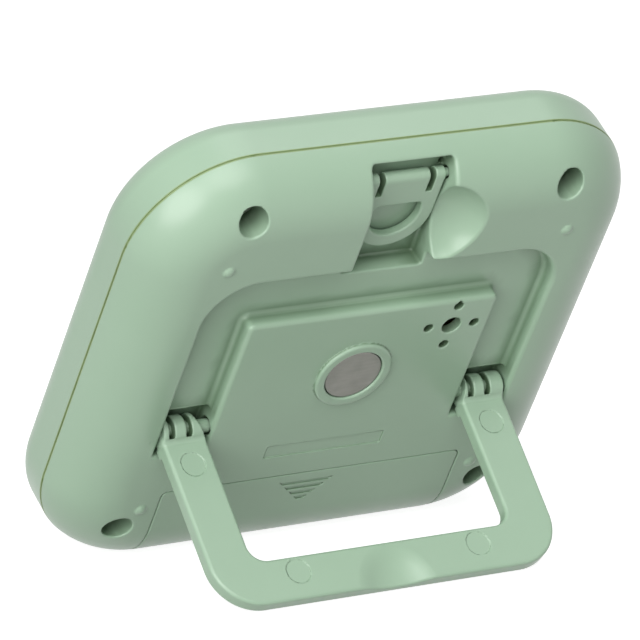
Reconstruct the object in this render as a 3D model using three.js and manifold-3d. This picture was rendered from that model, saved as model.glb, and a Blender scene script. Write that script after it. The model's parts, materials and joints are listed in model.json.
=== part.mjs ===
// A square digital timer with a fold-out stand, a fold-out hook and a magnet on its back.
// Millimetres. In the case's own frame +X is to the left of someone looking at the back, +Y points
// out of the back and +Z up the case. The two shells meet at y = 0, and x = z = 0 is the middle.
// The whole case is then leaned back until it rests on its lower edge and its opened stand.
import * as THREE from "three";
import { mergeVertices } from "three/addons/utils/BufferGeometryUtils.js";
import Module from "manifold-3d";

const wasm = await Module();
wasm.setup();

// Case
const caseWidth = 86.2;
const caseHeight = 82.2;
const caseCornerRadius = 18;
const rearDepth = 8.25;
const frontDepth = 9.75;
const shoulderRadius = 11;
const frontEdgeRadius = 5;
const shellWall = 1.8;
const seamGap = 0.4;
const clearance = 0.3;
const seatGap = 0.15;

// Stand, its channel and its hinge
const channelSideInset = 12.4;
const channelTopInset = 19.3;
const channelDepth = 2.76;
const channelWall = 1.5;
const hingeHeight = -10.17;
const hingeDepth = 1.98;
const pocketReachUp = 3.7;
const pocketReachDown = 3.43;
const standThickness = 2.45;
const standInnerOffset = 0.48;
const standArmWidth = 7.4;
const standBarWidth = 7.2;
const standSideGap = 0.5;
const standEndGap = 0.87;
const panelSideGap = 0.9;
const panelTopGap = 1.1;
const panelCornerRadius = 1;
const standOpenDegrees = 105.2;
const standOuterCorner = 7.7;
const standInnerCorner = 2.8;
const standBarrelRadius = 2.3;
const standPinRadius = 1.1;
const standPinLength = 1.3;
const standFirstFinger = 2.5;
const standMiddleFinger = 1.95;
const standSlotWidth = 1;
const standSlotEnd = 1.9;
const standLeadIn = 2;
const standHeelWidth = 1.8;
const thumbDishRadius = 5.8;
const thumbDishDepth = 1.1;
const pinMarkRadius = 2;
const pinMarkDepth = 0.12;
const armMarkHeight = 6.4;
const barMarkSide = 15.9;
const barMarkInset = 2.6;

// Hook, its recess and the finger scoop beside it
const recessHalfWidth = 7.05;
const recessTopInset = 1.9;
const recessDepth = 6.05;
const recessBelowChannelTop = 2.95;
const recessWall = 1.5;
const hookSideGap = 0.45;
const hookThickness = 1.5;
const hookBarrelRadius = 1.1;
const hookPivotInset = 5.4;
const hookPivotDepth = 5.35;
const hookLength = 13.4;
const hookRingWidth = 2.3;
const hookTabHalfWidth = 3.9;
const hookSlotWidth = 1;
const hookSlotLength = 2.65;
const hookBridge = 4.8;
const hookPinRadius = 0.7;
const hookPinLength = 1.1;
const scoopRadius = 7.8;
const scoopDepth = 5;
const scoopOffset = 5.8;
const scoopBelowTop = 11.7;
const reliefAbovePivot = 0.6;
const reliefHeight = 1.1;
const reliefWidth = 0.85;

// Fasteners
const topScrewSideInset = 15.6;
const topScrewInset = 6.9;
const lowScrewPastCover = 5.7;
const lowScrewInset = 11.8;
const wellRadius = 2.4;
const wellFloor = 1.9;
const bossWall = 1.4;
const screwHeadRadius = 1.9;
const screwHeadHeight = 1.4;
const screwShankRadius = 1;
const screwLength = 8.5;
const frontBossRadius = 3;
const screwSlotWidth = 0.5;
const slotReachShare = 0.6;
const slotDepthShare = 0.5;

// Lip that keeps the two shells in line
const lipGap = 0.9;
const lipWall = 0.8;
const lipRise = 1.2;
const lipFootDepth = 2.4;
const lipFootTop = 0.8;
const lipOpening = 3.6;

// Magnet, buzzer, label bar and nubs
const magnetRadius = 4.75;
const magnetThickness = 2.6;
const magnetBelowRing = 0.3;
const magnetRingWidth = 1.6;
const magnetRingRise = 0.7;
const magnetBelowMiddle = 0.65;
const buzzerPanelInset = 6.8;
const buzzerHeight = 7.15;
const buzzerHoleRadius = 1.6;
const buzzerSmallHoleRadius = 0.8;
const buzzerHoleSpacing = 4.08;
const buzzerDiscRadius = 7;
const buzzerDiscThickness = 0.4;
const buzzerWall = 1;
const buzzerChamberDepth = 2.5;
const leadRadius = 0.4;
const labelWidth = 20.6;
const labelHeight = 2.5;
const labelBelowMiddle = 16.3;
const labelDepth = 0.2;
const nubRadius = 1;
const nubRise = 0.45;
const nubSideInset = 13.6;
const nubInset = 15.7;

// Battery bay and cover
const cellRadius = 5.25;
const cellLength = 43.7;
const cellNubRadius = 1.9;
const cellNubLength = 0.8;
const bayWall = 1.2;
const bayRadialGap = 0.35;
const bayInset = 11.6;
const bayCellDepth = 7.65;
const coverPastBay = 1.55;
const coverTopInset = 18.8;
const coverThickness = 1.6;
const coverCornerRadius = 2.5;
const coverTongueWidth = 4;
const coverTongueSide = 15;
const coverTongueReach = 1.4;
const coverTongueThickness = 0.7;
const gripLineCount = 4;
const gripLinePitch = 1.2;
const gripLineHeight = 0.6;
const gripLineDepth = 0.3;
const gripWidth = 9.4;
const gripSide = 0.6;
const gripBelowCoverTop = 1.75;
const plateThickness = 0.4;
const tailHeight = 2.5;
const tailReach = 1.2;
const springWireRadius = 0.35;
const springRadius = 2.4;
const springTurns = 3;
const springLength = 2.85;

// Display, board and keys
const windowRise = 12.5;
const windowSideInset = 14.1;
const windowHeight = 28;
const windowCornerRadius = 1.5;
const lensSideInset = 10.1;
const lensHeight = 36;
const lensThickness = 1.3;
const lensCornerRadius = 4;
const lcdSideInset = 12.1;
const lcdHeight = 32;
const lcdThickness = 2;
const holderWall = 1.8;
const connectorWidth = 1.8;
const connectorInset = 2;
const boardFront = -3.3;
const boardThickness = 1.2;
const boardSideInset = 5.1;
const boardTopInset = 10.5;
const boardBottom = -21.6;
const boardCornerRadius = 8;
const postSideInset = 7.5;
const postHeights = [-2, 24];
const postRadius = 1.8;
const boardScrewHeadRadius = 1.5;
const boardScrewHeadHeight = 0.9;
const boardScrewShankRadius = 0.6;
const boardScrewLength = 4.5;
const boardScrewSlotWidth = 0.4;
const blobBallRadius = 4;
const blobHeight = 1.1;
const blobRise = 3.1;
const crystalRadius = 1;
const crystalLength = 6;
const crystalSide = 14;
const crystalAboveEdge = 5;
const capacitorLength = 3.2;
const capacitorHeight = 1.6;
const capacitorSide = -8;
const capacitorAboveEdge = 9;
const buttonDrop = 14.5;
const buttonSideInset = 12.6;
const buttonGap = 5;
const buttonHeight = 8.6;
const buttonRoundness = 0.98;
const buttonProud = 1.2;
const buttonFlange = 0.9;
const buttonFlangeHeight = 1;
const buttonTravel = 0.8;
const membraneThickness = 0.8;
const membraneMargin = 1.6;
const membraneCornerRadius = 1;
const keyPadRadius = 2.6;

// How finely round shapes are cut
const cornerSteps = 10;
const innerCornerSteps = 6;
const shoulderSteps = 8;
const innerShoulderSteps = 4;
const frontEdgeSteps = 6;
const holeSides = 20;
const smallHoleSides = 12;
const barrelSides = 24;
const dishSides = 56;
const scoopSides = 48;
const magnetSides = 40;
const discSides = 32;
const headSides = 18;
const wireSides = 6;
const curveSteps = 8;
const fineCurveSteps = 10;
const coarseCurveSteps = 5;
const ringCurveSteps = 20;
const leadSteps = 6;
const springSteps = 36;
const weldDistance = 1e-4;

// How far a cutting shape runs past the face that it cuts
const past = 1;

// Sizes that follow from the ones above
const halfWidth = caseWidth / 2;
const halfHeight = caseHeight / 2;
const rearFace = rearDepth;
const frontFace = -frontDepth;
const shoulderCentre = rearDepth - shoulderRadius;
const shoulderReach = Math.sqrt(shoulderRadius ** 2 - shoulderCentre ** 2);
const rearInside = rearFace - shellWall;
const frontInside = frontFace + shellWall;

const channelHalfWidth = halfWidth - channelSideInset;
const channelTop = halfHeight - channelTopInset;
const channelFloor = rearFace - channelDepth;
const hingeY = rearFace - hingeDepth;
const standArmOuter = channelHalfWidth - standSideGap;
const standArmInner = standArmOuter - standArmWidth;
const standLength = channelTop - standEndGap - hingeHeight;
const panelHalfWidth = standArmInner - panelSideGap;
const panelTop = hingeHeight + standLength - standBarWidth - panelTopGap;
const buzzerSide = panelHalfWidth - buzzerPanelInset;
const magnetFace = rearFace + magnetRingRise - magnetBelowRing;
const magnetBack = magnetFace - magnetThickness;
const magnetSeatFloor = magnetBack - seatGap;
const pocketBottom = hingeHeight - pocketReachDown;
const pocketTop = hingeHeight + pocketReachUp;
const pocketFloor = hingeY - standBarrelRadius - clearance;
const pocketInnerWall = standArmInner - standSideGap;
const standOpenAngle = THREE.MathUtils.degToRad(standOpenDegrees);

const recessTop = halfHeight - recessTopInset;
const recessBottom = channelTop - recessBelowChannelTop;
const recessFloor = rearFace - recessDepth;
const hookPivotZ = halfHeight - hookPivotInset;
const hookPivotY = rearFace - hookPivotDepth;
const hookHalfWidth = recessHalfWidth - hookSideGap;
const scoopSphereRadius = (scoopRadius ** 2 + scoopDepth ** 2) / (2 * scoopDepth);

const plateFace = (cellLength + cellNubLength + springLength) / 2 + springWireRadius + 1.5 * seatGap;
const bayHalfLength = plateFace + plateThickness + clearance;
const coverHalfWidth = bayHalfLength + coverPastBay;
const coverTop = coverTopInset - halfHeight;
const bayCentreZ = bayInset - halfHeight;
const bayCentreY = rearFace - bayCellDepth;
const bayHalf = cellRadius + bayRadialGap;
const bayFloor = bayCentreY - bayHalf;
const seatDepth = coverThickness + clearance;
const trunnionBoreDepth = standPinLength + clearance - standSideGap;

const windowWidth = caseWidth - 2 * windowSideInset;
const lensWidth = caseWidth - 2 * lensSideInset;
const lcdWidth = caseWidth - 2 * lcdSideInset;
const boardHalfWidth = halfWidth - boardSideInset;
const boardTop = halfHeight - boardTopInset;
const postSide = halfWidth - postSideInset;
const buttonWidth = (caseWidth - 2 * buttonSideInset - 2 * buttonGap) / 3;
const buttonSpacing = buttonWidth + buttonGap;
const boardRear = boardFront + boardThickness;
const lcdFront = frontInside + clearance;
const lcdBack = lcdFront + lcdThickness;

const casePlastic = { color: 0x9fbda2, roughness: 0.38, metalness: 0 };
const steel = { color: 0xb4b2ab, roughness: 0.35, metalness: 1 };

// Turns a three.js geometry into a solid that can be joined and cut.
function toSolid(geometry) {
  const bare = geometry.clone();
  bare.deleteAttribute("normal");
  bare.deleteAttribute("uv");
  const merged = mergeVertices(bare, weldDistance);
  return new wasm.Manifold(new wasm.Mesh({
    numProp: 3,
    vertProperties: new Float32Array(merged.attributes.position.array),
    triVerts: new Uint32Array(merged.index.array),
  }));
}

// Turns a solid back into a three.js geometry with flat faces.
function toGeometry(solid) {
  const mesh = solid.getMesh();
  const geometry = new THREE.BufferGeometry();
  geometry.setAttribute("position", new THREE.BufferAttribute(mesh.vertProperties, 3));
  geometry.setIndex(new THREE.BufferAttribute(mesh.triVerts, 1));
  const flat = geometry.toNonIndexed();
  flat.computeVertexNormals();
  return flat;
}

function join(first, ...others) {
  return others.reduce((whole, other) => whole.add(other), first);
}

function cut(first, ...tools) {
  return tools.reduce((whole, tool) => whole.subtract(tool), first);
}

function makeMesh(name, solid, finish) {
  const mesh = new THREE.Mesh(toGeometry(solid), new THREE.MeshStandardMaterial(finish));
  mesh.name = name;
  return mesh;
}

// A block between two corners.
function block(x0, x1, y0, y1, z0, z1) {
  const geometry = new THREE.BoxGeometry(x1 - x0, y1 - y0, z1 - z0);
  geometry.translate((x0 + x1) / 2, (y0 + y1) / 2, (z0 + z1) / 2);
  return toSolid(geometry);
}

// A round bar along Y, from y0 to y1.
function discAt(x, z, radius, y0, y1, sides = holeSides) {
  const geometry = new THREE.CylinderGeometry(radius, radius, y1 - y0, sides);
  geometry.translate(x, (y0 + y1) / 2, z);
  return toSolid(geometry);
}

// A round bar along X, from x0 to x1.
function barAlongX(x0, x1, y, z, radius, sides = holeSides) {
  const geometry = new THREE.CylinderGeometry(radius, radius, x1 - x0, sides);
  geometry.rotateZ(Math.PI / 2);
  geometry.translate((x0 + x1) / 2, y, z);
  return toSolid(geometry);
}

// The same block or bar on the left of the case, for side 1, or mirrored to its right, for side -1.
function sideBlock(side, x0, x1, y0, y1, z0, z1) {
  return side > 0 ? block(x0, x1, y0, y1, z0, z1) : block(-x1, -x0, y0, y1, z0, z1);
}

function sideBar(side, x0, x1, y, z, radius, facets) {
  return side > 0 ? barAlongX(x0, x1, y, z, radius, facets) : barAlongX(-x1, -x0, y, z, radius, facets);
}

function ballAt(x, y, z, radius, sides) {
  const geometry = new THREE.SphereGeometry(radius, sides, Math.round(sides / 2));
  geometry.translate(x, y, z);
  return toSolid(geometry);
}

// An outline drawn on X and Z, carried along Y from y0 to y1.
function prism(shape, y0, y1, curveSegments = curveSteps) {
  const geometry = new THREE.ExtrudeGeometry(shape, { depth: y1 - y0, bevelEnabled: false, curveSegments });
  geometry.rotateX(Math.PI / 2);
  geometry.translate(0, y1, 0);
  return toSolid(geometry);
}

// A rectangle whose four corners may have different radii, in the order top right, top left,
// bottom left, bottom right.
function roundedShape(x0, x1, z0, z1, radii) {
  const [a, b, c, d] = Array.isArray(radii) ? radii : [radii, radii, radii, radii];
  const shape = new THREE.Shape();
  shape.moveTo(x0 + c, z0);
  shape.lineTo(x1 - d, z0);
  if (d > 0) shape.absarc(x1 - d, z0 + d, d, -Math.PI / 2, 0, false);
  shape.lineTo(x1, z1 - a);
  if (a > 0) shape.absarc(x1 - a, z1 - a, a, 0, Math.PI / 2, false);
  shape.lineTo(x0 + b, z1);
  if (b > 0) shape.absarc(x0 + b, z1 - b, b, Math.PI / 2, Math.PI, false);
  shape.lineTo(x0, z0 + c);
  if (c > 0) shape.absarc(x0 + c, z0 + c, c, Math.PI, 1.5 * Math.PI, false);
  return shape;
}

// The case's outline, drawn in by inset, as points on X and Z.
function caseOutline(inset, steps) {
  const radius = caseCornerRadius - inset;
  const centreX = halfWidth - caseCornerRadius;
  const centreZ = halfHeight - caseCornerRadius;
  const points = [];
  for (let corner = 0; corner < 4; corner += 1) {
    const signX = corner === 0 || corner === 3 ? 1 : -1;
    const signZ = corner < 2 ? 1 : -1;
    for (let step = 0; step <= steps; step += 1) {
      const angle = (corner + step / steps) * (Math.PI / 2);
      points.push([signX * centreX + radius * Math.cos(angle), signZ * centreZ + radius * Math.sin(angle)]);
    }
  }
  return points;
}

// A closed solid through a stack of the case's outlines, each row giving its y and its inset.
// The rows run from low y to high y.
function caseLoft(rows, steps) {
  const count = 4 * (steps + 1);
  const positions = [];
  for (const [y, inset] of rows) {
    for (const [x, z] of caseOutline(inset, steps)) positions.push(x, y, z);
  }
  const lowCentre = positions.length / 3;
  positions.push(0, rows[0][0], 0);
  positions.push(0, rows[rows.length - 1][0], 0);
  const faces = [];
  for (let row = 0; row + 1 < rows.length; row += 1) {
    for (let i = 0; i < count; i += 1) {
      const next = (i + 1) % count;
      const a = row * count + i;
      const b = row * count + next;
      faces.push(a, a + count, b, b, a + count, b + count);
    }
  }
  const last = (rows.length - 1) * count;
  for (let i = 0; i < count; i += 1) {
    const next = (i + 1) % count;
    faces.push(lowCentre, i, next);
    faces.push(lowCentre + 1, last + next, last + i);
  }
  const geometry = new THREE.BufferGeometry();
  geometry.setAttribute("position", new THREE.Float32BufferAttribute(positions, 3));
  geometry.setIndex(faces);
  return toSolid(geometry);
}

// The rear shell's outer form, or the same form drawn in by an even offset: a flat back with a
// round shoulder that runs down to the rim.
function rearForm(offset, rim, steps = innerShoulderSteps, corners = innerCornerSteps) {
  const radius = shoulderRadius - offset;
  const sweep = Math.acos((rim - shoulderCentre) / radius);
  const rows = [];
  for (let step = steps; step >= 0; step -= 1) {
    const angle = (sweep * step) / steps;
    rows.push([shoulderCentre + radius * Math.cos(angle), shoulderReach - radius * Math.sin(angle)]);
  }
  return caseLoft(rows, corners);
}

// The front shell's outer form, or the same form drawn in: straight sides and a round front edge.
function frontForm(offset, rim, steps = innerShoulderSteps, corners = innerCornerSteps) {
  const radius = frontEdgeRadius - offset;
  const rows = [];
  for (let step = steps; step >= 0; step -= 1) {
    const angle = (Math.PI / 2) * (step / steps);
    const y = frontFace + frontEdgeRadius - radius * Math.sin(angle);
    rows.push([y, frontEdgeRadius - radius * Math.cos(angle)]);
  }
  rows.push([rim, offset]);
  return caseLoft(rows, corners);
}

const outerRear = rearForm(0, seamGap / 2, shoulderSteps, cornerSteps);
const farOut = rearFace + 2 * shellWall;
const farIn = -halfHeight;

const screwPlaces = [
  [halfWidth - topScrewSideInset, halfHeight - topScrewInset],
  [topScrewSideInset - halfWidth, halfHeight - topScrewInset],
  [coverHalfWidth + lowScrewPastCover, lowScrewInset - halfHeight],
  [-coverHalfWidth - lowScrewPastCover, lowScrewInset - halfHeight],
];

// Both signs, for pieces that the case has on its left and on its right.
const sides = [1, -1];

// The U channel that the folded stand lies in, from the hinge pockets round the middle panel.
function channelCut() {
  const corner = standOuterCorner + standSideGap;
  const wide = roundedShape(-channelHalfWidth, channelHalfWidth, pocketTop - clearance, channelTop,
    [corner, corner, 0, 0]);
  const panel = roundedShape(-panelHalfWidth, panelHalfWidth, pocketBottom - shellWall, panelTop,
    [panelCornerRadius, panelCornerRadius, 0, 0]);
  return prism(wide, channelFloor, farOut, fineCurveSteps)
    .subtract(prism(panel, channelFloor - shellWall, farOut));
}

function channelBacking() {
  const shape = roundedShape(-channelHalfWidth - channelWall, channelHalfWidth + channelWall,
    pocketTop - channelWall, channelTop + channelWall, [standOuterCorner, standOuterCorner, 0, 0]);
  const hollowHalf = panelHalfWidth - shellWall;
  const hollow = block(-hollowHalf, hollowHalf, channelFloor - 2 * channelWall, rearInside,
    pocketBottom - shellWall, panelTop - shellWall);
  return prism(shape, channelFloor - channelWall, rearInside + clearance).subtract(hollow);
}

// The pocket that a barrelled end of the stand turns in, with a bore in each side wall.
function hingePocketCut(side) {
  const boreInner = pocketInnerWall - trunnionBoreDepth;
  const boreOuter = channelHalfWidth + trunnionBoreDepth;
  return join(
    sideBlock(side, pocketInnerWall, channelHalfWidth, pocketFloor, farOut, pocketBottom, pocketTop),
    sideBar(side, boreInner, boreOuter, hingeY, hingeHeight, standPinRadius + clearance, smallHoleSides),
  );
}

function hingePocketBacking(side) {
  const inner = pocketInnerWall - trunnionBoreDepth - channelWall;
  const outer = channelHalfWidth + trunnionBoreDepth + channelWall;
  return sideBlock(side, inner, outer, pocketFloor - channelWall, rearInside + clearance,
    pocketBottom - channelWall, pocketTop + channelWall);
}

// The recess that the folded hook lies in, with a deeper groove above and below its barrel and two
// bores. A small deep relief lies above each end of the barrel.
function hookRecessCut() {
  const groove = hookBarrelRadius + clearance;
  const bore = recessHalfWidth + hookPinLength + clearance - hookSideGap;
  const reliefStart = recessHalfWidth - reliefWidth;
  const reliefBottom = hookPivotZ + reliefAbovePivot;
  return join(
    ...sides.map((side) => sideBlock(side, reliefStart, recessHalfWidth, -recessWall, farOut,
      reliefBottom, reliefBottom + reliefHeight)),
    block(-recessHalfWidth, recessHalfWidth, recessFloor, farOut, recessBottom, recessTop),
    block(-recessHalfWidth, recessHalfWidth, hookPivotY - groove, farOut,
      hookPivotZ - 2 * groove, recessTop),
    barAlongX(-bore, bore, hookPivotY, hookPivotZ, hookPinRadius + clearance, smallHoleSides),
  );
}

function hookRecessBacking() {
  const half = recessHalfWidth + hookPinLength + recessWall;
  return block(-half, half, hookPivotY - hookBarrelRadius - clearance - recessWall, farOut,
    recessBottom - recessWall, halfHeight);
}

// The round scoop that lets a fingertip reach under the hook, seen to the hook's right from behind.
function scoopBall(extra, facets) {
  const centreY = rearFace - scoopDepth + scoopSphereRadius;
  return ballAt(-scoopOffset, centreY, halfHeight - scoopBelowTop, scoopSphereRadius + extra, facets);
}

function buzzerHoles() {
  const holes = [discAt(-buzzerSide, buzzerHeight, buzzerHoleRadius, 0, farOut)];
  for (let i = 0; i < 4; i += 1) {
    const x = -buzzerSide + buzzerHoleSpacing * Math.cos((i * Math.PI) / 2);
    const z = buzzerHeight + buzzerHoleSpacing * Math.sin((i * Math.PI) / 2);
    holes.push(discAt(x, z, buzzerSmallHoleRadius, 0, farOut, smallHoleSides));
  }
  return join(...holes);
}

// The ring inside the back that holds the buzzer disc clear of its holes.
function buzzerChamber() {
  const low = rearInside - buzzerChamberDepth;
  return cut(
    discAt(-buzzerSide, buzzerHeight, buzzerDiscRadius + buzzerWall / 2, low, rearInside + clearance),
    discAt(-buzzerSide, buzzerHeight, buzzerDiscRadius - buzzerWall / 2, low - clearance, rearInside),
  );
}

// The part of the back that the battery cover fills, widened by a gap on its three sides.
function coverRegion(gap) {
  const shape = roundedShape(-coverHalfWidth - gap, coverHalfWidth + gap, farIn - shellWall, coverTop + gap,
    [coverCornerRadius + gap, coverCornerRadius + gap, 0, 0]);
  return prism(shape, 0, farOut, coarseCurveSteps);
}

// The skin under the cover, joined to the back all round, before the cover's own place is cut.
function coverSeat() {
  const wide = block(-coverHalfWidth - shellWall, coverHalfWidth + shellWall, seamGap / 2, farOut,
    farIn - shellWall, coverTop + shellWall);
  const skin = rearForm(shellWall / 2, seamGap / 2).subtract(rearForm(seatDepth + bayWall, -seamGap));
  return skin.intersect(wide);
}

function bayTub() {
  const outside = block(-bayHalfLength - bayWall, bayHalfLength + bayWall, bayFloor - bayWall, farOut,
    bayCentreZ - bayHalf - bayWall, bayCentreZ + bayHalf + bayWall);
  return join(
    outside.intersect(rearForm(seatDepth, seamGap / 2)),
    outside.intersect(block(-halfWidth, halfWidth, bayFloor - bayWall, seamGap, farIn, 0)),
  );
}

// The hollow that the cell lies in, with a slot at each end for the contact plate's tail.
function bayCut() {
  const slotBottom = boardRear - seatGap / 2;
  const slotTop = boardRear + tailHeight + 2 * clearance;
  const bayTop = bayCentreZ + bayHalf;
  const tailSlots = sides.map((side) => {
    const middle = side * (bayHalfLength - clearance - plateThickness / 2);
    return block(middle - plateThickness, middle + plateThickness, slotBottom, slotTop,
      bayTop - clearance, bayTop + 2 * bayWall);
  });
  return join(
    block(-bayHalfLength, bayHalfLength, bayFloor, farOut, bayCentreZ - bayHalf, bayTop),
    ...tailSlots,
  );
}

// The two slots under the back's edge that the cover's tongues slide out of.
function tongueSlots() {
  const low = rearFace - coverThickness - coverTongueThickness - clearance;
  return join(...sides.map((side) => {
    const half = coverTongueWidth / 2 + clearance;
    return block(side * coverTongueSide - half, side * coverTongueSide + half, low,
      rearFace - coverThickness + clearance, bayCentreZ + bayHalf - clearance,
      coverTop + coverTongueReach + clearance);
  }));
}

function tongues() {
  return join(...sides.map((side) => {
    const half = coverTongueWidth / 2;
    return block(side * coverTongueSide - half, side * coverTongueSide + half,
      rearFace - coverThickness - coverTongueThickness, rearFace - coverThickness + clearance,
      coverTop - coverTongueReach, coverTop + coverTongueReach);
  }));
}

// Four engraved lines that get shorter downwards and so draw a triangle.
function gripLines() {
  const lines = [];
  for (let i = 0; i < gripLineCount; i += 1) {
    const top = coverTop - gripBelowCoverTop - i * gripLinePitch;
    const depth = gripLineCount * gripLinePitch;
    const upper = (gripWidth / 2) * (1 - (i * gripLinePitch) / depth);
    const lower = (gripWidth / 2) * (1 - (i * gripLinePitch + gripLineHeight) / depth);
    const shape = new THREE.Shape();
    shape.moveTo(gripSide - upper, top);
    shape.lineTo(gripSide - lower, top - gripLineHeight);
    shape.lineTo(gripSide + lower, top - gripLineHeight);
    shape.lineTo(gripSide + upper, top);
    shape.closePath();
    lines.push(prism(shape, rearFace - gripLineDepth, farOut));
  }
  return join(...lines);
}

function screwBosses() {
  const bosses = screwPlaces.map(([x, z]) => discAt(x, z, wellRadius + bossWall, seatGap, rearFace));
  return join(...bosses).intersect(rearForm(shellWall / 2, seatGap / 2));
}

function screwWells() {
  const wells = screwPlaces.map(([x, z]) => join(
    discAt(x, z, wellRadius, wellFloor, farOut),
    discAt(x, z, screwShankRadius + clearance, -seamGap, wellFloor + clearance, smallHoleSides),
  ));
  return join(...wells);
}

function nubs() {
  const balls = [];
  const ballRadius = (nubRadius ** 2 + nubRise ** 2) / (2 * nubRise);
  for (const side of sides) {
    for (const end of sides) {
      const x = side * (halfWidth - nubSideInset);
      const z = end * (halfHeight - nubInset);
      balls.push(ballAt(x, rearFace + nubRise - ballRadius, z, ballRadius, holeSides));
    }
  }
  const outward = block(-halfWidth, halfWidth, rearInside + clearance, farOut, farIn, halfHeight);
  return join(...balls).intersect(outward);
}

function rearShell() {
  const seatBall = discAt(0, -magnetBelowMiddle, magnetRadius + magnetRingWidth + seatGap,
    magnetSeatFloor - bayWall, rearFace + magnetRingRise, magnetSides);
  const magnetSeat = discAt(0, -magnetBelowMiddle, magnetRadius + seatGap, magnetSeatFloor, farOut,
    magnetSides);
  const label = block(-labelWidth / 2, labelWidth / 2, rearFace - labelDepth, farOut,
    -labelBelowMiddle - labelHeight / 2, -labelBelowMiddle + labelHeight / 2);
  const hull = outerRear.subtract(rearForm(shellWall, -seamGap));
  const backing = join(
    channelBacking(),
    hookRecessBacking(),
    scoopBall(recessWall, holeSides).intersect(block(-halfWidth, halfWidth, 0, farOut, farIn, halfHeight)),
    ...sides.map(hingePocketBacking),
  ).intersect(outerRear);
  return cut(
    join(hull, backing, seatBall, buzzerChamber(), screwBosses(), nubs(), coverSeat(), bayTub()),
    coverRegion(clearance / 2).subtract(rearForm(seatDepth, -seamGap)),
    channelCut(),
    ...sides.map(hingePocketCut),
    hookRecessCut(),
    scoopBall(0, scoopSides),
    buzzerHoles(),
    magnetSeat,
    label,
    bayCut(),
    tongueSlots(),
    screwWells(),
  );
}

function batteryCover() {
  const skin = rearForm(0, seamGap, shoulderSteps, cornerSteps).subtract(rearForm(coverThickness, -seamGap));
  return join(skin.intersect(coverRegion(0)), tongues()).subtract(gripLines());
}

function magnet() {
  return discAt(0, -magnetBelowMiddle, magnetRadius, magnetBack, magnetFace, magnetSides);
}

// The lip inside the front shell that keeps the two rims in line. It stops where the cover, the
// hook's recess and the screw bosses need the room.
function alignmentLip() {
  const outside = shellWall + lipGap;
  const inside = outside + lipWall;
  const lip = caseLoft([[-lipFootDepth, outside], [lipRise, outside]], cornerSteps);
  const foot = caseLoft([[-lipFootDepth, shellWall / 2], [-lipFootTop, shellWall / 2]], cornerSteps);
  const hollow = caseLoft([[-lipFootDepth - past, inside], [lipRise + past, inside]], cornerSteps);
  const bossRoom = screwPlaces.map(([x, z]) => discAt(x, z, wellRadius + bossWall + clearance,
    -lipFootDepth - past, halfWidth));
  const coverRoom = coverHalfWidth + lipOpening;
  const recessRoom = recessHalfWidth + lipOpening;
  return cut(
    join(lip, foot),
    hollow,
    block(-coverRoom, coverRoom, -seamGap, halfWidth, farIn, coverTop),
    block(-recessRoom, recessRoom, -seamGap, halfWidth, 0, halfHeight),
    ...bossRoom,
  );
}

function buttonShape(grow) {
  const halfW = buttonWidth / 2 + grow;
  const halfH = buttonHeight / 2 + grow;
  return roundedShape(-halfW, halfW, -halfH, halfH, halfH * buttonRoundness);
}

function frontShell() {
  const outside = frontForm(0, -seamGap / 2, frontEdgeSteps, cornerSteps);
  const inside = frontForm(shellWall, 0);
  const posts = sides.flatMap((side) => postHeights.map((z) => discAt(side * postSide, z, postRadius,
    frontInside - clearance, boardFront - seatGap, smallHoleSides)));
  const postHoles = sides.flatMap((side) => postHeights.map((z) => discAt(side * postSide, z,
    boardScrewShankRadius + seatGap, frontInside + clearance, boardFront, smallHoleSides)));
  const bosses = screwPlaces.map(([x, z]) => discAt(x, z, frontBossRadius,
    frontInside - clearance, -seatGap));
  const bossHoles = screwPlaces.map(([x, z]) => discAt(x, z, screwShankRadius + seatGap,
    frontInside + clearance, seamGap, smallHoleSides));
  const lens = prism(roundedShape(-lensWidth / 2 - seatGap, lensWidth / 2 + seatGap,
    windowRise - lensHeight / 2 - seatGap, windowRise + lensHeight / 2 + seatGap, lensCornerRadius),
    frontFace - past, frontFace + lensThickness + seatGap);
  const windowShape = roundedShape(-windowWidth / 2, windowWidth / 2, windowRise - windowHeight / 2,
    windowRise + windowHeight / 2, windowCornerRadius);
  const windowHole = prism(windowShape, frontFace - past, frontInside + past, coarseCurveSteps);
  const buttonHoles = [-1, 0, 1].map((place) => prism(buttonShape(clearance), frontFace - past,
    frontInside + past).translate([place * buttonSpacing, 0, -buttonDrop]));
  const shell = join(cut(outside, inside), alignmentLip(), ...posts, ...bosses);
  return cut(shell, lens, windowHole, ...buttonHoles, ...postHoles, ...bossHoles);
}

// One arm's end of the stand: a barrel with a round pin on each side of it.
function standBarrel(side) {
  return join(
    sideBar(side, standArmInner - standPinLength, standArmOuter + standPinLength, 0, 0, standPinRadius,
      smallHoleSides),
    sideBar(side, standArmInner, standArmOuter, 0, 0, standBarrelRadius, barrelSides),
  );
}

// The two slots that part a barrel into three fingers. Both barrels have them in the same order,
// counted from the end that lies towards -X.
function barrelSlots(side) {
  const low = side > 0 ? standArmInner : -standArmOuter;
  const starts = [low + standFirstFinger, low + standFirstFinger + standSlotWidth + standMiddleFinger];
  return join(...starts.map((start) => block(start, start + standSlotWidth, -2 * standBarrelRadius,
    2 * standBarrelRadius, -2 * standBarrelRadius, standSlotEnd)));
}

// The slope on a barrel's inner end, which lets the stand snap past the panel into its bores. It faces
// upwards when the timer leans on its opened stand.
function barrelLeadIn(side) {
  const turn = THREE.MathUtils.radToDeg(Math.PI - standOpenAngle - leanAngle());
  const shape = new THREE.Shape();
  shape.moveTo(side * (standArmInner - clearance), standLeadIn / 2);
  shape.lineTo(side * (standArmInner - clearance), -standBarrelRadius - clearance);
  shape.lineTo(side * (standArmInner + standLeadIn), -standBarrelRadius - clearance);
  shape.closePath();
  const wedge = prism(shape, -2 * standBarrelRadius, 2 * standBarrelRadius).rotate([-turn, 0, 0]);
  return wedge.subtract(sideBar(side, standArmInner - standPinLength, standArmInner + standLeadIn, 0, 0,
    standPinRadius, smallHoleSides));
}

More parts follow.
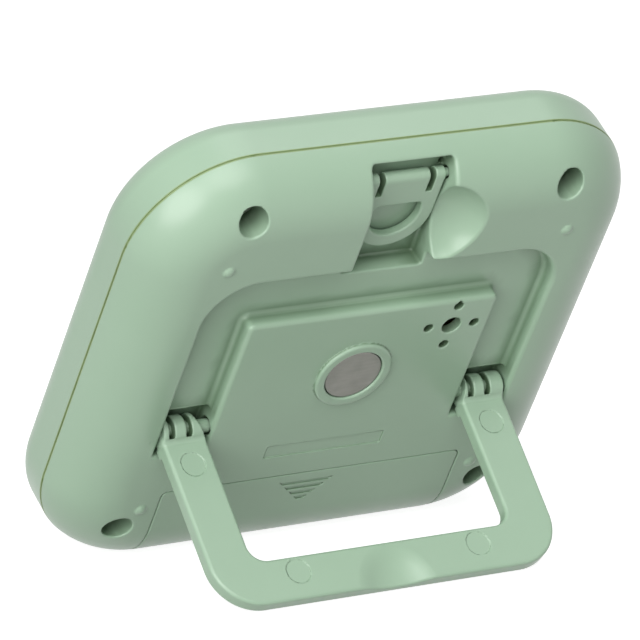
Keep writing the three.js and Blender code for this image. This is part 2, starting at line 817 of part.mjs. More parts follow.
// The heel that meets the pocket's lower rim and stops the stand when it is open.
function standHeel(side) {
  const across = Math.sin(standOpenAngle);
  const back = Math.cos(standOpenAngle);
  const rimAway = hingeDepth * back + pocketReachDown * across;
  const rimAlong = hingeDepth * across - pocketReachDown * back;
  const outerFace = standThickness - standInnerOffset;
  return sideBlock(side, standArmInner, standArmOuter, outerFace - clearance, rimAway - clearance,
    rimAlong - standHeelWidth / 2, rimAlong + standHeelWidth / 2);
}

// The stand lying folded: its pivot is the origin, its arms point up and its inner face looks
// into the channel.
function stand() {
  const inner = -standInnerOffset;
  const outer = standThickness - standInnerOffset;
  const through = 2 * standThickness;
  const outline = roundedShape(-standArmOuter, standArmOuter, 0, standLength,
    [standOuterCorner, standOuterCorner, 0, 0]);
  const opening = roundedShape(-standArmInner, standArmInner, -through, standLength - standBarWidth,
    [standInnerCorner, standInnerCorner, 0, 0]);
  const plate = prism(outline, inner, outer, fineCurveSteps)
    .subtract(prism(opening, -through, through, coarseCurveSteps));
  const dishSphere = (thumbDishRadius ** 2 + thumbDishDepth ** 2) / (2 * thumbDishDepth);
  const dish = ballAt(0, inner + thumbDishDepth - dishSphere, standLength, dishSphere, dishSides);
  const armMark = [standArmOuter - standArmWidth / 2, armMarkHeight];
  const barMark = [barMarkSide, standLength - standBarWidth + barMarkInset];
  const marks = sides.flatMap((side) => [armMark, barMark].map(([x, z]) => discAt(side * x, z, pinMarkRadius,
    -through, inner + pinMarkDepth)));
  return cut(
    join(plate, ...sides.map(standBarrel), ...sides.map(standHeel)),
    ...sides.map(barrelSlots),
    ...sides.map(barrelLeadIn),
    dish,
    ...marks,
  );
}

// The hook lying folded: its pivot is the origin and its ring hangs down from it.
function hook() {
  const outer = hookBarrelRadius;
  const inner = hookBarrelRadius - hookThickness;
  const ringCentre = -(hookLength - hookHalfWidth);
  const outline = new THREE.Shape();
  outline.moveTo(-hookHalfWidth, 0);
  outline.lineTo(-hookHalfWidth, ringCentre);
  outline.absarc(0, ringCentre, hookHalfWidth, Math.PI, 2 * Math.PI, false);
  outline.lineTo(hookHalfWidth, 0);
  outline.closePath();
  const holeRadius = hookHalfWidth - hookRingWidth;
  const hole = discAt(0, ringCentre, holeRadius, inner - past, outer + past, discSides)
    .subtract(block(-holeRadius, holeRadius, inner - 2 * past, outer + 2 * past, -hookBridge, 0));
  const slots = sides.map((side) => {
    const xs = [side * hookTabHalfWidth, side * (hookTabHalfWidth + hookSlotWidth)].sort((a, b) => a - b);
    return block(xs[0], xs[1], -2 * hookBarrelRadius, 2 * hookBarrelRadius, -hookSlotLength,
      2 * hookBarrelRadius);
  });
  const pinReach = hookHalfWidth + hookPinLength;
  const body = join(
    prism(outline, inner, outer, ringCurveSteps),
    barAlongX(-hookHalfWidth, hookHalfWidth, 0, 0, hookBarrelRadius),
  );
  return join(
    cut(body, hole, ...slots),
    ...sides.map((side) => {
      const xs = [side * (hookHalfWidth - clearance), side * pinReach].sort((a, b) => a - b);
      return barAlongX(xs[0], xs[1], 0, 0, hookPinRadius, smallHoleSides);
    }),
  );
}

// A cross-slotted screw that points towards -Y, with its head's underside at the origin.
function screw(headRadius, headHeight, shankRadius, length, slotWidth) {
  const body = join(
    discAt(0, 0, headRadius, 0, headHeight, headSides),
    discAt(0, 0, shankRadius, -length, headHeight / 2, smallHoleSides),
  );
  const half = slotWidth / 2;
  const reach = headRadius * slotReachShare;
  const floor = headHeight * slotDepthShare;
  return cut(
    body,
    block(-reach, reach, floor, headHeight + past, -half, half),
    block(-half, half, floor, headHeight + past, -reach, reach),
  );
}

function button() {
  const back = frontInside + clearance;
  return join(
    prism(buttonShape(0), frontFace - buttonProud, back + clearance),
    prism(buttonShape(buttonFlange), back, back + buttonFlangeHeight),
  );
}

function keyMembrane() {
  const half = buttonSpacing + buttonWidth / 2 + membraneMargin;
  const top = -buttonDrop + buttonHeight / 2 + membraneMargin;
  const bottom = Math.max(-buttonDrop - buttonHeight / 2 - membraneMargin, boardBottom + membraneMargin / 4);
  const back = boardFront - seatGap;
  const front = back - membraneThickness;
  const padFront = frontInside + clearance + buttonFlangeHeight + buttonTravel + seatGap;
  const sheet = prism(roundedShape(-half, half, bottom, top, membraneCornerRadius), front, back,
    coarseCurveSteps);
  const pads = [-1, 0, 1].map((place) => discAt(place * buttonSpacing, -buttonDrop, keyPadRadius,
    padFront, back));
  return join(sheet, ...pads);
}

function lcdHolder() {
  const gap = clearance;
  const front = frontInside + seatGap;
  const back = boardFront - seatGap;
  const halfW = lcdWidth / 2 + gap;
  const halfH = lcdHeight / 2 + gap;
  return cut(
    block(-halfW - holderWall, halfW + holderWall, front, back, windowRise - halfH - holderWall,
      windowRise + halfH + holderWall),
    block(-halfW, halfW, front - past, back + past, windowRise - halfH, windowRise + halfH),
  );
}

function circuitBoard() {
  const board = prism(roundedShape(-boardHalfWidth, boardHalfWidth, boardBottom, boardTop, boardCornerRadius),
    boardFront, boardRear, coarseCurveSteps);
  const holes = sides.flatMap((side) => postHeights.map((z) => discAt(side * postSide, z,
    boardScrewShankRadius + seatGap, boardFront - past, boardRear + past, smallHoleSides)));
  return cut(board, ...holes);
}

// The cell lies along X with its raised end towards +X, and its middle is the origin.
function batteryCell() {
  const half = cellLength / 2;
  const profile = [
    new THREE.Vector2(0, -half),
    new THREE.Vector2(cellRadius - clearance, -half),
    new THREE.Vector2(cellRadius, clearance - half),
    new THREE.Vector2(cellRadius, half - clearance),
    new THREE.Vector2(cellRadius - clearance, half),
    new THREE.Vector2(cellNubRadius, half),
    new THREE.Vector2(cellNubRadius, half + cellNubLength),
    new THREE.Vector2(0, half + cellNubLength),
  ];
  const geometry = new THREE.LatheGeometry(profile, holeSides);
  geometry.rotateZ(-Math.PI / 2);
  return toSolid(geometry);
}

// A spring-steel plate that stands in an end of the bay, with a tail that reaches the board.
function contactPlate(side) {
  const outer = side * (bayHalfLength - clearance);
  const inner = outer - side * plateThickness;
  const xs = [inner, outer].sort((a, b) => a - b);
  const plate = block(xs[0], xs[1], bayFloor + clearance, rearFace, bayCentreZ - bayHalf + clearance,
    bayCentreZ + bayHalf - clearance);
  return join(
    plate.intersect(rearForm(seatDepth + clearance, bayFloor)),
    block(xs[0], xs[1], boardRear + seatGap, boardRear + seatGap + tailHeight, bayCentreZ,
      boardBottom + tailReach),
  );
}

// A helix along X, drawn by its angle and its advance.
class SpringPath extends THREE.Curve {
  getPoint(t, target = new THREE.Vector3()) {
    const angle = t * springTurns * 2 * Math.PI;
    return target.set(t * springLength, springRadius * Math.cos(angle), springRadius * Math.sin(angle));
  }
}

// A round wire along a path, as a closed solid.
function wire(path, radius, steps) {
  const section = new THREE.Shape();
  for (let i = 0; i < wireSides; i += 1) {
    const angle = (i * 2 * Math.PI) / wireSides;
    const point = [radius * Math.cos(angle), radius * Math.sin(angle)];
    if (i === 0) section.moveTo(...point);
    else section.lineTo(...point);
  }
  section.closePath();
  return toSolid(new THREE.ExtrudeGeometry(section, { steps, extrudePath: path, bevelEnabled: false }));
}

function buzzerLead(shift) {
  const top = rearInside - buzzerChamberDepth - seatGap - buzzerDiscThickness - seatGap;
  const bottom = boardRear + seatGap;
  const start = new THREE.Vector3(-buzzerSide + shift, top, buzzerHeight);
  const end = new THREE.Vector3(-buzzerSide + shift, bottom, buzzerHeight - buzzerDiscRadius / 2);
  const middle = start.clone().lerp(end, 0.5).add(new THREE.Vector3(0, 0, buzzerDiscRadius / 4));
  return wire(new THREE.QuadraticBezierCurve3(start, middle, end), leadRadius, leadSteps);
}

function caseScrews() {
  return screwPlaces.map(([x, z], index) => {
    const mesh = makeMesh(`case_screw_${index + 1}`,
      screw(screwHeadRadius, screwHeadHeight, screwShankRadius, screwLength, screwSlotWidth), steel);
    mesh.position.set(x, wellFloor + seatGap, z);
    return mesh;
  });
}

function boardScrews() {
  const places = sides.flatMap((side) => postHeights.map((z) => [side * postSide, z]));
  return places.map(([x, z], index) => {
    const mesh = makeMesh(`board_screw_${index + 1}`, screw(boardScrewHeadRadius, boardScrewHeadHeight,
      boardScrewShankRadius, boardScrewLength, boardScrewSlotWidth), steel);
    mesh.position.set(x, boardRear + seatGap, z);
    return mesh;
  });
}

function displayPieces() {
  const lensShape = roundedShape(-lensWidth / 2, lensWidth / 2, -lensHeight / 2, lensHeight / 2,
    lensCornerRadius);
  const lens = makeMesh("display_window", prism(lensShape, frontFace, frontFace + lensThickness),
    { color: 0xdfe6e4, roughness: 0.08, metalness: 0 });
  lens.position.z = windowRise;
  const lcd = makeMesh("lcd_glass", block(-lcdWidth / 2, lcdWidth / 2, lcdFront, lcdBack, -lcdHeight / 2,
    lcdHeight / 2), { color: 0x9aa58f, roughness: 0.2, metalness: 0 });
  lcd.position.z = windowRise;
  const stripHalf = lcdWidth / 2 - connectorInset;
  const strip = makeMesh("lcd_connector", block(-stripHalf, stripHalf, lcdBack + seatGap,
    boardFront - seatGap, 0, connectorWidth), { color: 0x3a3f44, roughness: 0.8, metalness: 0 });
  strip.position.z = windowRise - lcdHeight / 2 + clearance;
  const holder = makeMesh("lcd_holder", lcdHolder(), { color: 0xe8e8e2, roughness: 0.5, metalness: 0 });
  return [lens, lcd, strip, holder];
}

// The cap of a ball that covers the controller chip.
function controllerBlob() {
  const floor = blobBallRadius - blobHeight;
  const half = blobBallRadius + past;
  return ballAt(0, 0, 0, blobBallRadius, holeSides).intersect(block(-half, half, floor, half, -half, half));
}

function boardPieces() {
  const boardFace = boardRear + seatGap;
  const board = makeMesh("circuit_board", circuitBoard(), { color: 0x2f6b3f, roughness: 0.5, metalness: 0 });
  const blob = makeMesh("controller_blob", controllerBlob(),
    { color: 0x16181a, roughness: 0.3, metalness: 0 });
  blob.position.set(0, boardFace - blobBallRadius + blobHeight, blobRise);
  const crystal = makeMesh("quartz_crystal", barAlongX(-crystalLength / 2, crystalLength / 2, 0, 0,
    crystalRadius, smallHoleSides), steel);
  crystal.position.set(crystalSide, boardFace + crystalRadius, boardBottom + crystalAboveEdge);
  const capacitor = makeMesh("capacitor", block(-capacitorLength / 2, capacitorLength / 2, 0, capacitorHeight,
    -capacitorHeight / 2, capacitorHeight / 2), { color: 0xb98b5a, roughness: 0.5, metalness: 0 });
  capacitor.position.set(capacitorSide, boardFace, boardBottom + capacitorAboveEdge);
  return [board, blob, crystal, capacitor];
}

function buzzerPieces() {
  const discTop = rearInside - buzzerChamberDepth - seatGap;
  const disc = makeMesh("buzzer_disc", discAt(0, 0, buzzerDiscRadius, -buzzerDiscThickness, 0, discSides),
    { color: 0xc9a24a, roughness: 0.3, metalness: 1 });
  disc.position.set(-buzzerSide, discTop, buzzerHeight);
  return [
    disc,
    makeMesh("buzzer_lead_red", buzzerLead(buzzerWall), { color: 0xa02020, roughness: 0.5, metalness: 0 }),
    makeMesh("buzzer_lead_black", buzzerLead(-buzzerWall), { color: 0x1c1c1c, roughness: 0.5, metalness: 0 }),
  ];
}

function batteryPieces() {
  const cell = makeMesh("battery_cell", batteryCell(), { color: 0x2f5f8f, roughness: 0.35, metalness: 0.2 });
  cell.position.set(plateFace - seatGap - cellNubLength - cellLength / 2, bayCentreY, bayCentreZ);
  const coil = wire(new SpringPath(), springWireRadius, springSteps);
  const spring = makeMesh("contact_spring", coil, steel);
  spring.position.set(-plateFace + seatGap + springWireRadius, bayCentreY, bayCentreZ);
  return [
    cell,
    makeMesh("contact_plate", contactPlate(1), steel),
    makeMesh("spring_plate", contactPlate(-1), steel),
    spring,
  ];
}

function keyPieces() {
  const names = ["minute_button", "second_button", "start_stop_button"];
  const caps = names.map((name, index) => {
    const mesh = makeMesh(name, button(), { color: 0xeef0ea, roughness: 0.45, metalness: 0 });
    mesh.position.set((index - 1) * buttonSpacing, 0, -buttonDrop);
    return mesh;
  });
  const membrane = makeMesh("key_membrane", keyMembrane(), { color: 0xbfc4c2, roughness: 0.8, metalness: 0 });
  return [...caps, membrane];
}

// The stand and the hook each hang in a group whose origin is their hinge.
function hinged(mesh, y, z, turn) {
  const group = new THREE.Group();
  group.name = `${mesh.name}_hinge`;
  group.position.set(0, y, z);
  group.rotation.x = turn;
  group.add(mesh);
  return group;
}

// The angle at which one straight floor touches both the opened stand's foot and the round lower
// edge of the case.
function leanAngle() {
  const outward = Math.sin(standOpenAngle);
  const upward = Math.cos(standOpenAngle);
  const under = standThickness - standInnerOffset;
  const footY = hingeY + standLength * outward + under * upward;
  const footZ = hingeHeight + standLength * upward - under * outward;
  const backY = shoulderCentre - footY;
  const backZ = shoulderReach - halfHeight - footZ;
  return Math.atan2(-backZ, -backY) + Math.asin(shoulderRadius / Math.hypot(backY, backZ));
}

const caseGroup = new THREE.Group();
caseGroup.name = "case_frame";
caseGroup.add(
  makeMesh("rear_shell", rearShell(), casePlastic),
  makeMesh("front_shell", frontShell(), casePlastic),
  makeMesh("battery_cover", batteryCover(), casePlastic),
  makeMesh("magnet", magnet(), { color: 0x8b857e, roughness: 0.35, metalness: 0.9 }),
  hinged(makeMesh("stand", stand(), casePlastic), hingeY, hingeHeight, -standOpenAngle),
  hinged(makeMesh("hook", hook(), casePlastic), hookPivotY, hookPivotZ, 0),
  ...caseScrews(),
  ...displayPieces(),
  ...boardPieces(),
  ...boardScrews(),
  ...buzzerPieces(),
  ...batteryPieces(),
  ...keyPieces(),
);
caseGroup.rotation.x = -leanAngle();

const timer = new THREE.Group();
timer.name = "digital_timer";
timer.add(caseGroup);
timer.updateMatrixWorld(true);
const bounds = new THREE.Box3().setFromObject(timer, true);
timer.position.set(0, -(bounds.min.y + bounds.max.y) / 2, -bounds.min.z);

export default timer;
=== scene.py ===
"""Dresses the digital timer: softly rounded shells, stand and hook over the fixed frame, and its finishes."""

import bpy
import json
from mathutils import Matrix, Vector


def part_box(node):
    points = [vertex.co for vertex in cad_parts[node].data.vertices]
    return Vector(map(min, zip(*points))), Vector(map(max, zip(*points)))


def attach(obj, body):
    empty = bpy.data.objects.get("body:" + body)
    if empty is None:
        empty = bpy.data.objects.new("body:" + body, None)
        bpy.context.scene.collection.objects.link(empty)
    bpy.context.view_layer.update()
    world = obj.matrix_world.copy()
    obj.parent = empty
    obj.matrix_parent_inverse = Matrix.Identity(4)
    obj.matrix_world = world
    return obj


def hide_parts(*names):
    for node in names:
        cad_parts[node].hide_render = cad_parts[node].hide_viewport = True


bl_info = {
    "name": "Digital Timer",
    "version": (1, 0, 0),
    "blender": (4, 5, 0),
    "location": "View3D > Sidebar > Timer",
    "description": "Builds the moulded shells, stand, hook and finishes of a square digital timer",
    "category": "Object",
}

import json
import math
from types import SimpleNamespace

import bmesh
import bpy
import numpy as np
from bpy.props import FloatProperty, FloatVectorProperty, PointerProperty
from mathutils import Matrix, Vector

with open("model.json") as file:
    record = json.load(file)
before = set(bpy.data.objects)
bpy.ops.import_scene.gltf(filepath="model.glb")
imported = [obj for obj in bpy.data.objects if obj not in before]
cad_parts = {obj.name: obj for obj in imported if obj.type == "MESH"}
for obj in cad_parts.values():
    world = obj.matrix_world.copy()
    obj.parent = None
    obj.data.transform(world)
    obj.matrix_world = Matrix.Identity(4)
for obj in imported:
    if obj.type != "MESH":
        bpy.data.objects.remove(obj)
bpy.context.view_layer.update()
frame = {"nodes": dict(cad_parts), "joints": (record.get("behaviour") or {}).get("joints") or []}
joints = {joint["name"]: joint for joint in frame["joints"]}

SIDES = (1, -1)
SCREWS_IN = ((15.6, 6.9), (10.9, 11.8))  # the upper and lower screws, in from the sides and ends, in mm
PIN_BORE = 1.4  # radius of the bores for the stand's pins, in mm
PIN_BORE_DEEP = 1.1
RELIEF_X = 6.625  # middle of the case to a deep slot beside the hook's pins, in mm
RELIEF_HALF = 0.425
RELIEF_LOW = 0.6  # the slots' ends, up from the hook's pivot
RELIEF_HIGH = 1.7
RELIEF_FLOOR = -1.5
STEP_SHORT = 0.03  # how far the front shell's step ends below the seam's edge, in mm
TARGET = (0, 0, 0.035)
LAMPS = (
    # name, place in metres, width in metres, power in watts
    ("high behind", (0.17, 0.77, 0.94), 0.85, 6.8),
    ("left side", (0.94, 0.65, 0.41), 1.0, 12.8),
    ("overhead", (-0.35, 0.0, 1.1), 0.9, 3.1),
)
WORLD_STRENGTH = 0.11
CAMERA_PLACE = (0.45793, 0.77203, 0.27858)
CAMERA_TURNS = (149.376, 15.047, 1.175)  # azimuth, elevation and roll, in degrees
CAMERA_LENS = 341.12


# Settings

def length(name, description, millimetres):
    return FloatProperty(name=name, description=description, default=millimetres / 1000, precision=5,
                         subtype="DISTANCE", unit="LENGTH")


def colour(name, description, red, green, blue):
    return FloatVectorProperty(name=name, description=description, default=(red, green, blue), min=0, max=1,
                               size=3, subtype="COLOR")


class CaseSizes(bpy.types.PropertyGroup):
    """The case and what is cut into its back. Places are from the case's middle and its parting plane."""

    width: length("Width", "Case from side to side", 86.2)
    height: length("Height", "Case from lower to upper edge", 82.2)
    corner: length("Corner radius", "Radius of the case's four corners", 18)
    rear: length("Rear depth", "Parting plane to the back's flat face", 8.25)
    front: length("Front depth", "Parting plane to the front face", 9.75)
    shoulder: length("Shoulder radius", "Round edge between the back and the sides", 11)
    front_edge: length("Front edge radius", "Round edge between the front and the sides", 5)
    wall: length("Wall", "Thickness of both shells", 1.8)
    rib: length("Rib", "Wall round each pocket, inside the case", 1.4)
    rim: length("Rim", "Half of the open seam between the two shells", 0.13)
    skin: length("Skin", "How far each surface stays under the solid frame's", 0.03)
    lip: length("Lip", "Where the step that closes the seam stands, in from the sides", 0.32)
    channel_half: length("Channel half width", "Middle to the side wall of the stand's channel", 30.7)
    channel_top: length("Channel top", "Middle to the upper wall of the stand's channel", 21.8)
    channel_depth: length("Channel depth", "Depth of the stand's channel", 2.76)
    channel_corner: length("Channel corner", "Radius of the channel's upper corners", 8.2)
    channel_end: length("Channel end", "Middle to the lower end of the channel's arms", -6.77)
    panel_half: length("Panel half width", "Middle to the side of the raised panel", 21.9)
    panel_top: length("Panel top", "Middle to the top of the raised panel", 12.63)
    panel_corner: length("Panel corner", "Radius of the panel's upper corners", 1)
    hinge_y: length("Hinge height", "Parting plane to the stand's pivot", 6.27)
    hinge_z: length("Hinge place", "Middle to the stand's pivot", -10.17)
    pocket_inner: length("Pocket inner wall", "Middle to the inner wall of a hinge pocket", 21.9)
    pocket_up: length("Pocket up", "Pivot to the upper wall of a hinge pocket", 3.7)
    pocket_down: length("Pocket down", "Pivot to the lower wall of a hinge pocket", 3.43)
    pocket_under: length("Pocket under", "Pivot to the floor of a hinge pocket", 2.6)
    recess_half: length("Recess half width", "Middle to the side wall of the hook's recess", 7.05)
    recess_top: length("Recess top", "Middle to the upper wall of the hook's recess", 39.2)
    recess_bottom: length("Recess bottom", "Middle to the lower wall of the hook's recess", 18.85)
    recess_floor: length("Recess floor", "Parting plane to the recess's floor", 2.2)
    scoop_x: length("Scoop side", "Middle of the finger scoop from the case's middle", -5.8)
    scoop_z: length("Scoop place", "Middle of the finger scoop up the case", 29.4)
    scoop_rim: length("Scoop rim", "Radius of the finger scoop at the back's face", 7.8)
    scoop_deep: length("Scoop depth", "Depth of the finger scoop", 5)
    edge: length("Edge", "Rounding of the channel, panel and recess edges", 0.75)
    nose: length("Nose", "Rounding between the recess and the finger scoop", 0.35)
    well: length("Screw well", "Radius of a screw's well", 2.35)
    well_floor: length("Well floor", "Parting plane to a screw well's floor", 1.9)
    well_hole: length("Screw hole", "Radius of the hole through a well's floor", 1.3)
    buzzer_x: length("Buzzer side", "Middle of the sound holes from the case's middle", -15.1)
    buzzer_z: length("Buzzer place", "Middle of the sound holes up the case", 7.15)
    buzzer_hole: length("Sound hole", "Radius of the middle sound hole", 1.6)
    buzzer_small: length("Small sound hole", "Radius of the four outer sound holes", 0.8)
    buzzer_pitch: length("Sound hole pitch", "Middle sound hole to an outer one", 4.08)
    magnet_z: length("Magnet place", "Middle of the magnet up the case", -0.65)
    magnet_face: length("Magnet face", "Parting plane to the magnet's face", 8.65)
    magnet: length("Magnet radius", "Radius of the magnet", 4.78)
    magnet_seat: length("Magnet seat", "Radius of the magnet's seat", 4.86)
    magnet_ring: length("Magnet ring", "Radius of the raised ring round the magnet", 6.5)
    magnet_ring_rise: length("Ring rise", "Height of the raised ring", 0.66)
    magnet_seat_floor: length("Seat floor", "Parting plane to the magnet seat's floor", 5.9)
    bar_half: length("Bar half width", "Half the width of the sunk bar", 10.3)
    bar_z: length("Bar place", "Middle of the sunk bar up the case", -16.3)
    bar_height: length("Bar height", "Height of the sunk bar", 2.5)
    bar_depth: length("Bar depth", "Depth of the sunk bar", 0.2)
    nub_x: length("Nub side", "A nub's place from the middle", 29.5)
    nub_z: length("Nub place", "A nub's place up or down the case", 25.4)
    nub: length("Nub radius", "Radius of a nub at the back's face", 1)
    nub_rise: length("Nub rise", "Height of a nub", 0.45)


class CoverSizes(bpy.types.PropertyGroup):
    """The battery cover, its seat and the bay under it."""

    half: length("Half width", "Half the width of the battery cover", 26.5)
    top: length("Top", "Middle of the case to the cover's upper edge", -22.3)
    corner: length("Corner", "Radius of the cover's upper corners", 1)
    thick: length("Thickness", "Thickness of the cover", 1.6)
    gap: length("Gap", "Gap beside the cover", 0.1)
    seat: length("Seat", "Depth of the seat under the cover", 1.9)
    edge: length("Edge", "Rounding of the cover's edges", 0.2)
    bay_half: length("Bay half length", "Half the length of the cell's bay", 24.95)
    bay_z: length("Bay place", "Middle of the cell's bay up the case", -29.5)
    bay_y: length("Bay depth", "Parting plane to the middle of the cell", 0.6)
    bay_wide: length("Bay half width", "Half the width of the cell's bay", 5.6)
    tongue_x: length("Tongue side", "A tongue's place from the middle", 15)
    tongue_half: length("Tongue half width", "Half the width of a tongue", 2)
    tongue_reach: length("Tongue reach", "How far a tongue passes the cover's edge", 1.4)
    tongue_thick: length("Tongue thickness", "Thickness of a tongue", 0.7)
    grip_x: length("Grip side", "Middle of the grip lines from the case's middle", 0.6)
    grip_top: length("Grip top", "Middle of the case to the uppermost grip line", -24.05)
    grip_half: length("Grip half width", "Half the length of the uppermost grip line", 4.7)
    grip_pitch: length("Grip pitch", "One grip line to the next", 1.2)
    grip_line: length("Grip line", "Width of a grip line", 0.6)
    grip_depth: length("Grip depth", "Depth of a grip line", 0.3)
    cell: length("Cell radius", "Radius of the battery cell", 5.25)


class StandSizes(bpy.types.PropertyGroup):
    """The stand, as it lies folded, from its pivot. Its inner face looks into the channel."""

    outer: length("Outer half width", "Middle to the outer side of an arm", 30.2)
    inner: length("Inner half width", "Middle to the inner side of an arm", 22.8)
    reach: length("Reach", "Pivot to the foot of the stand", 31.1)
    bar: length("Bar", "Width of the foot bar", 7.2)
    low: length("Inner face", "Pivot to the inner face", -0.48)
    high: length("Outer face", "Pivot to the outer face", 1.97)
    outer_corner: length("Outer corner", "Radius of the stand's outer corners", 7.7)
    inner_corner: length("Inner corner", "Radius of the stand's inner corners", 2.8)
    edge: length("Edge", "Rounding of the stand's long edges", 0.5)
    barrel: length("Barrel", "Radius of the stand's barrels", 2.3)
    pin: length("Pin", "Radius of the stand's pins", 1.1)
    pin_reach: length("Pin length", "How far a pin passes the arm's side", 1.3)
    first_finger: length("First finger", "Width of a barrel's first finger", 2.5)
    middle_finger: length("Middle finger", "Width of a barrel's middle finger", 1.95)
    slot: length("Slot", "Width of the slots between the fingers", 1)
    slot_end: length("Slot end", "Pivot to the end of the slots", 1.9)
    lead_in: length("Lead in", "Width of the slope on a wide finger's inner end", 1.8)
    narrow_lead_in: length("Narrow lead in", "Width of the slope on a narrow finger's inner end", 0.7)
    lead_in_start: length("Lead in start", "Pivot down to the lower end of that slope", 1.6)
    heel_high: length("Heel height", "Pivot to the top of the heel", 2.49)
    heel_low: length("Heel start", "Pivot to the near side of the heel", 1.91)
    heel_end: length("Heel end", "Pivot to the far side of the heel", 3.71)
    dish: length("Dish radius", "Radius of the thumb dish", 5.8)
    dish_depth: length("Dish depth", "Depth of the thumb dish", 1.1)
    mark: length("Pin mark", "Radius of the round moulding marks", 2)
    mark_depth: length("Mark depth", "Depth of the round moulding marks", 0.12)
    arm_mark: length("Arm mark", "Pivot to the mark on an arm", 6.4)
    bar_mark: length("Bar mark side", "Middle to a mark on the foot bar", 15.9)
    bar_mark_in: length("Bar mark inset", "Bar's inner edge to a mark on it", 2.6)


class HookSizes(bpy.types.PropertyGroup):
    """The hook, as it lies folded, from its pivot."""

    half: length("Half width", "Half the width of the hook", 6.6)
    reach: length("Reach", "Pivot to the hook's end", 13.4)
    thick: length("Thickness", "Thickness of the hook", 1.5)
    ring: length("Ring", "Width of the hook's ring", 2.3)
    bridge: length("Bridge", "Pivot to the eye's straight side", 4.8)
    tab: length("Tab", "Middle to the side of the middle tab", 3.9)
    slot: length("Slot", "Width of the slots beside the tab", 1)
    slot_reach: length("Slot reach", "Pivot to the end of the slots", 2.65)
    barrel: length("Barrel", "Radius of the hook's barrel", 1.1)
    pin: length("Pin", "Radius of the hook's pins", 0.7)
    pin_reach: length("Pin length", "How far a pin passes the hook's side", 1.1)
    edge: length("Edge", "Rounding of the hook's edges", 0.34)
    pivot_y: length("Pivot height", "Parting plane to the hook's pivot", 2.9)
    pivot_z: length("Pivot place", "Middle of the case to the hook's pivot", 35.7)


class FrontSizes(bpy.types.PropertyGroup):
    """The window and buttons of the front, which the photograph doesn't show."""

    window_z: length("Window place", "Middle of the window up the case", 12.5)
    window_half: length("Window half width", "Half the width of the window's hole", 29)
    window_tall: length("Window half height", "Half the height of the window's hole", 14)
    lens_half: length("Lens half width", "Half the width of the clear window", 33)
    lens_tall: length("Lens half height", "Half the height of the clear window", 18)
    lens_thick: length("Lens thickness", "Thickness of the clear window", 1.3)
    lens_corner: length("Lens corner", "Radius of the clear window's corners", 4)
    gap: length("Gap", "Gap round the buttons", 0.3)
    seat: length("Seat gap", "Gap round the window", 0.15)
    button_z: length("Button place", "Middle of the buttons up the case", -14.5)
    button_pitch: length("Button pitch", "One button to the next", 22)
    button_half: length("Button half width", "Half the width of a button", 8.5)
    button_tall: length("Button half height", "Half the height of a button", 4.3)
    button_proud: length("Button proud", "How far a button stands out of the front", 1.2)
    button_flange: length("Button flange", "Width of a button's flange", 0.9)
    button_edge: length("Button edge", "Rounding of a button's front edge", 0.7)
    digit_half: length("Digit half width", "Half the width of a digit", 5)
    digit_tall: length("Digit half height", "Half the height of a digit", 9.5)
    digit_bar: length("Digit bar", "Width of a digit's bars", 1.9)


class Finishes(bpy.types.PropertyGroup):
    """The colours of the timer's finishes, and of the shade painted into its corners and its seam."""

    case: colour("Case", "Sage-green moulded plastic", 0.338, 0.472, 0.348)
    case_deep: colour("Case, deeper", "Where the green lies slightly deeper", 0.305, 0.442, 0.315)
    # Painted shade: a dark green laid into the case's corners, slots and wells, where shadow falls.
    corner: colour("Corners", "The green's tint in corners, slots and wells", 0.07, 0.125, 0.06)
    # Painted shade: a darker olive band laid along the open seam between the shells, where shadow falls in
    # the gap.
    seam: colour("Seam", "Olive tint in the seam between the shells", 0.24, 0.33, 0.15)
    magnet: colour("Magnet", "Dull nickel plate", 0.25, 0.245, 0.225)
    screw: colour("Screws", "Zinc plate", 0.50, 0.49, 0.46)
    button: colour("Buttons", "Off-white plastic", 0.80, 0.82, 0.76)
    display: colour("Display", "Grey-green display glass", 0.42, 0.47, 0.36)
    board: colour("Board", "Green solder mask", 0.02, 0.15, 0.05)
    jacket: colour("Cell jacket", "Plain blue film on the cell", 0.03, 0.12, 0.30)


GROUPS = {
    "timer_case": CaseSizes,
    "timer_cover": CoverSizes,
    "timer_stand": StandSizes,
    "timer_hook": HookSizes,
    "timer_front": FrontSizes,
}


def in_millimetres(group):
    """The lengths of a group of settings, as plain numbers of millimetres."""
    names = [key for key in group.bl_rna.properties.keys() if key not in ("rna_type", "name")]
    return SimpleNamespace(**{name: getattr(group, name) * 1000 for name in names})


def sizes(context, name):
    """One of the scene's groups of settings, in millimetres."""
    return in_millimetres(getattr(context.scene, name))


# Places in the world

class Placement:
    """An origin and three axes, which carry millimetres of a piece's own frame into the world's metres."""

    def __init__(self, origin, axes):
        self.origin = np.array(origin, float)
        self.axes = np.array(axes, float)

    def points(self, local):
        return self.origin + (np.asarray(local, float) @ self.axes) / 1000

    def directions(self, local):
        return np.asarray(local, float) @ self.axes

    def moved(self, x, y, z):
        return Placement(self.points([x, y, z]), self.axes)


def case_placement(case):
    """The case's own frame: its axes are those of the buttons' and the cover's travel."""
    back = np.array(joints["minute_press"]["axis"], float)
    up = -np.array(joints["battery_cover_slide"]["axis"], float)
    left = np.cross(back, up)
    pivot = np.array(joints["stand_hinge"]["pos_m"], float)
    origin = pivot - (case.hinge_y * back + case.hinge_z * up) / 1000
    return Placement(origin, [left, back, up])


def stand_placement(case):
    """The stand's frame at its pivot, turned out from the folded place by the hinge's whole range."""
    whole = case_placement(case)
    left, back, up = whole.axes
    turn = math.radians(joints["stand_hinge"]["range_deg"][1])
    arm = math.cos(turn) * up + math.sin(turn) * back
    away = math.cos(turn) * back - math.sin(turn) * up
    return Placement(joints["stand_hinge"]["pos_m"], [left, away, arm])


# Distances: each is a signed distance in millimetres, below nought inside the solid

def both(a, b, radius=0.0):
    """What lies inside two solids. Their meeting edge is rounded by a quarter circle of the radius."""
    if radius <= 0:
        return np.maximum(a, b)
    over = np.hypot(np.maximum(a + radius, 0), np.maximum(b + radius, 0))
    return np.minimum(np.maximum(a, b), -radius) + over


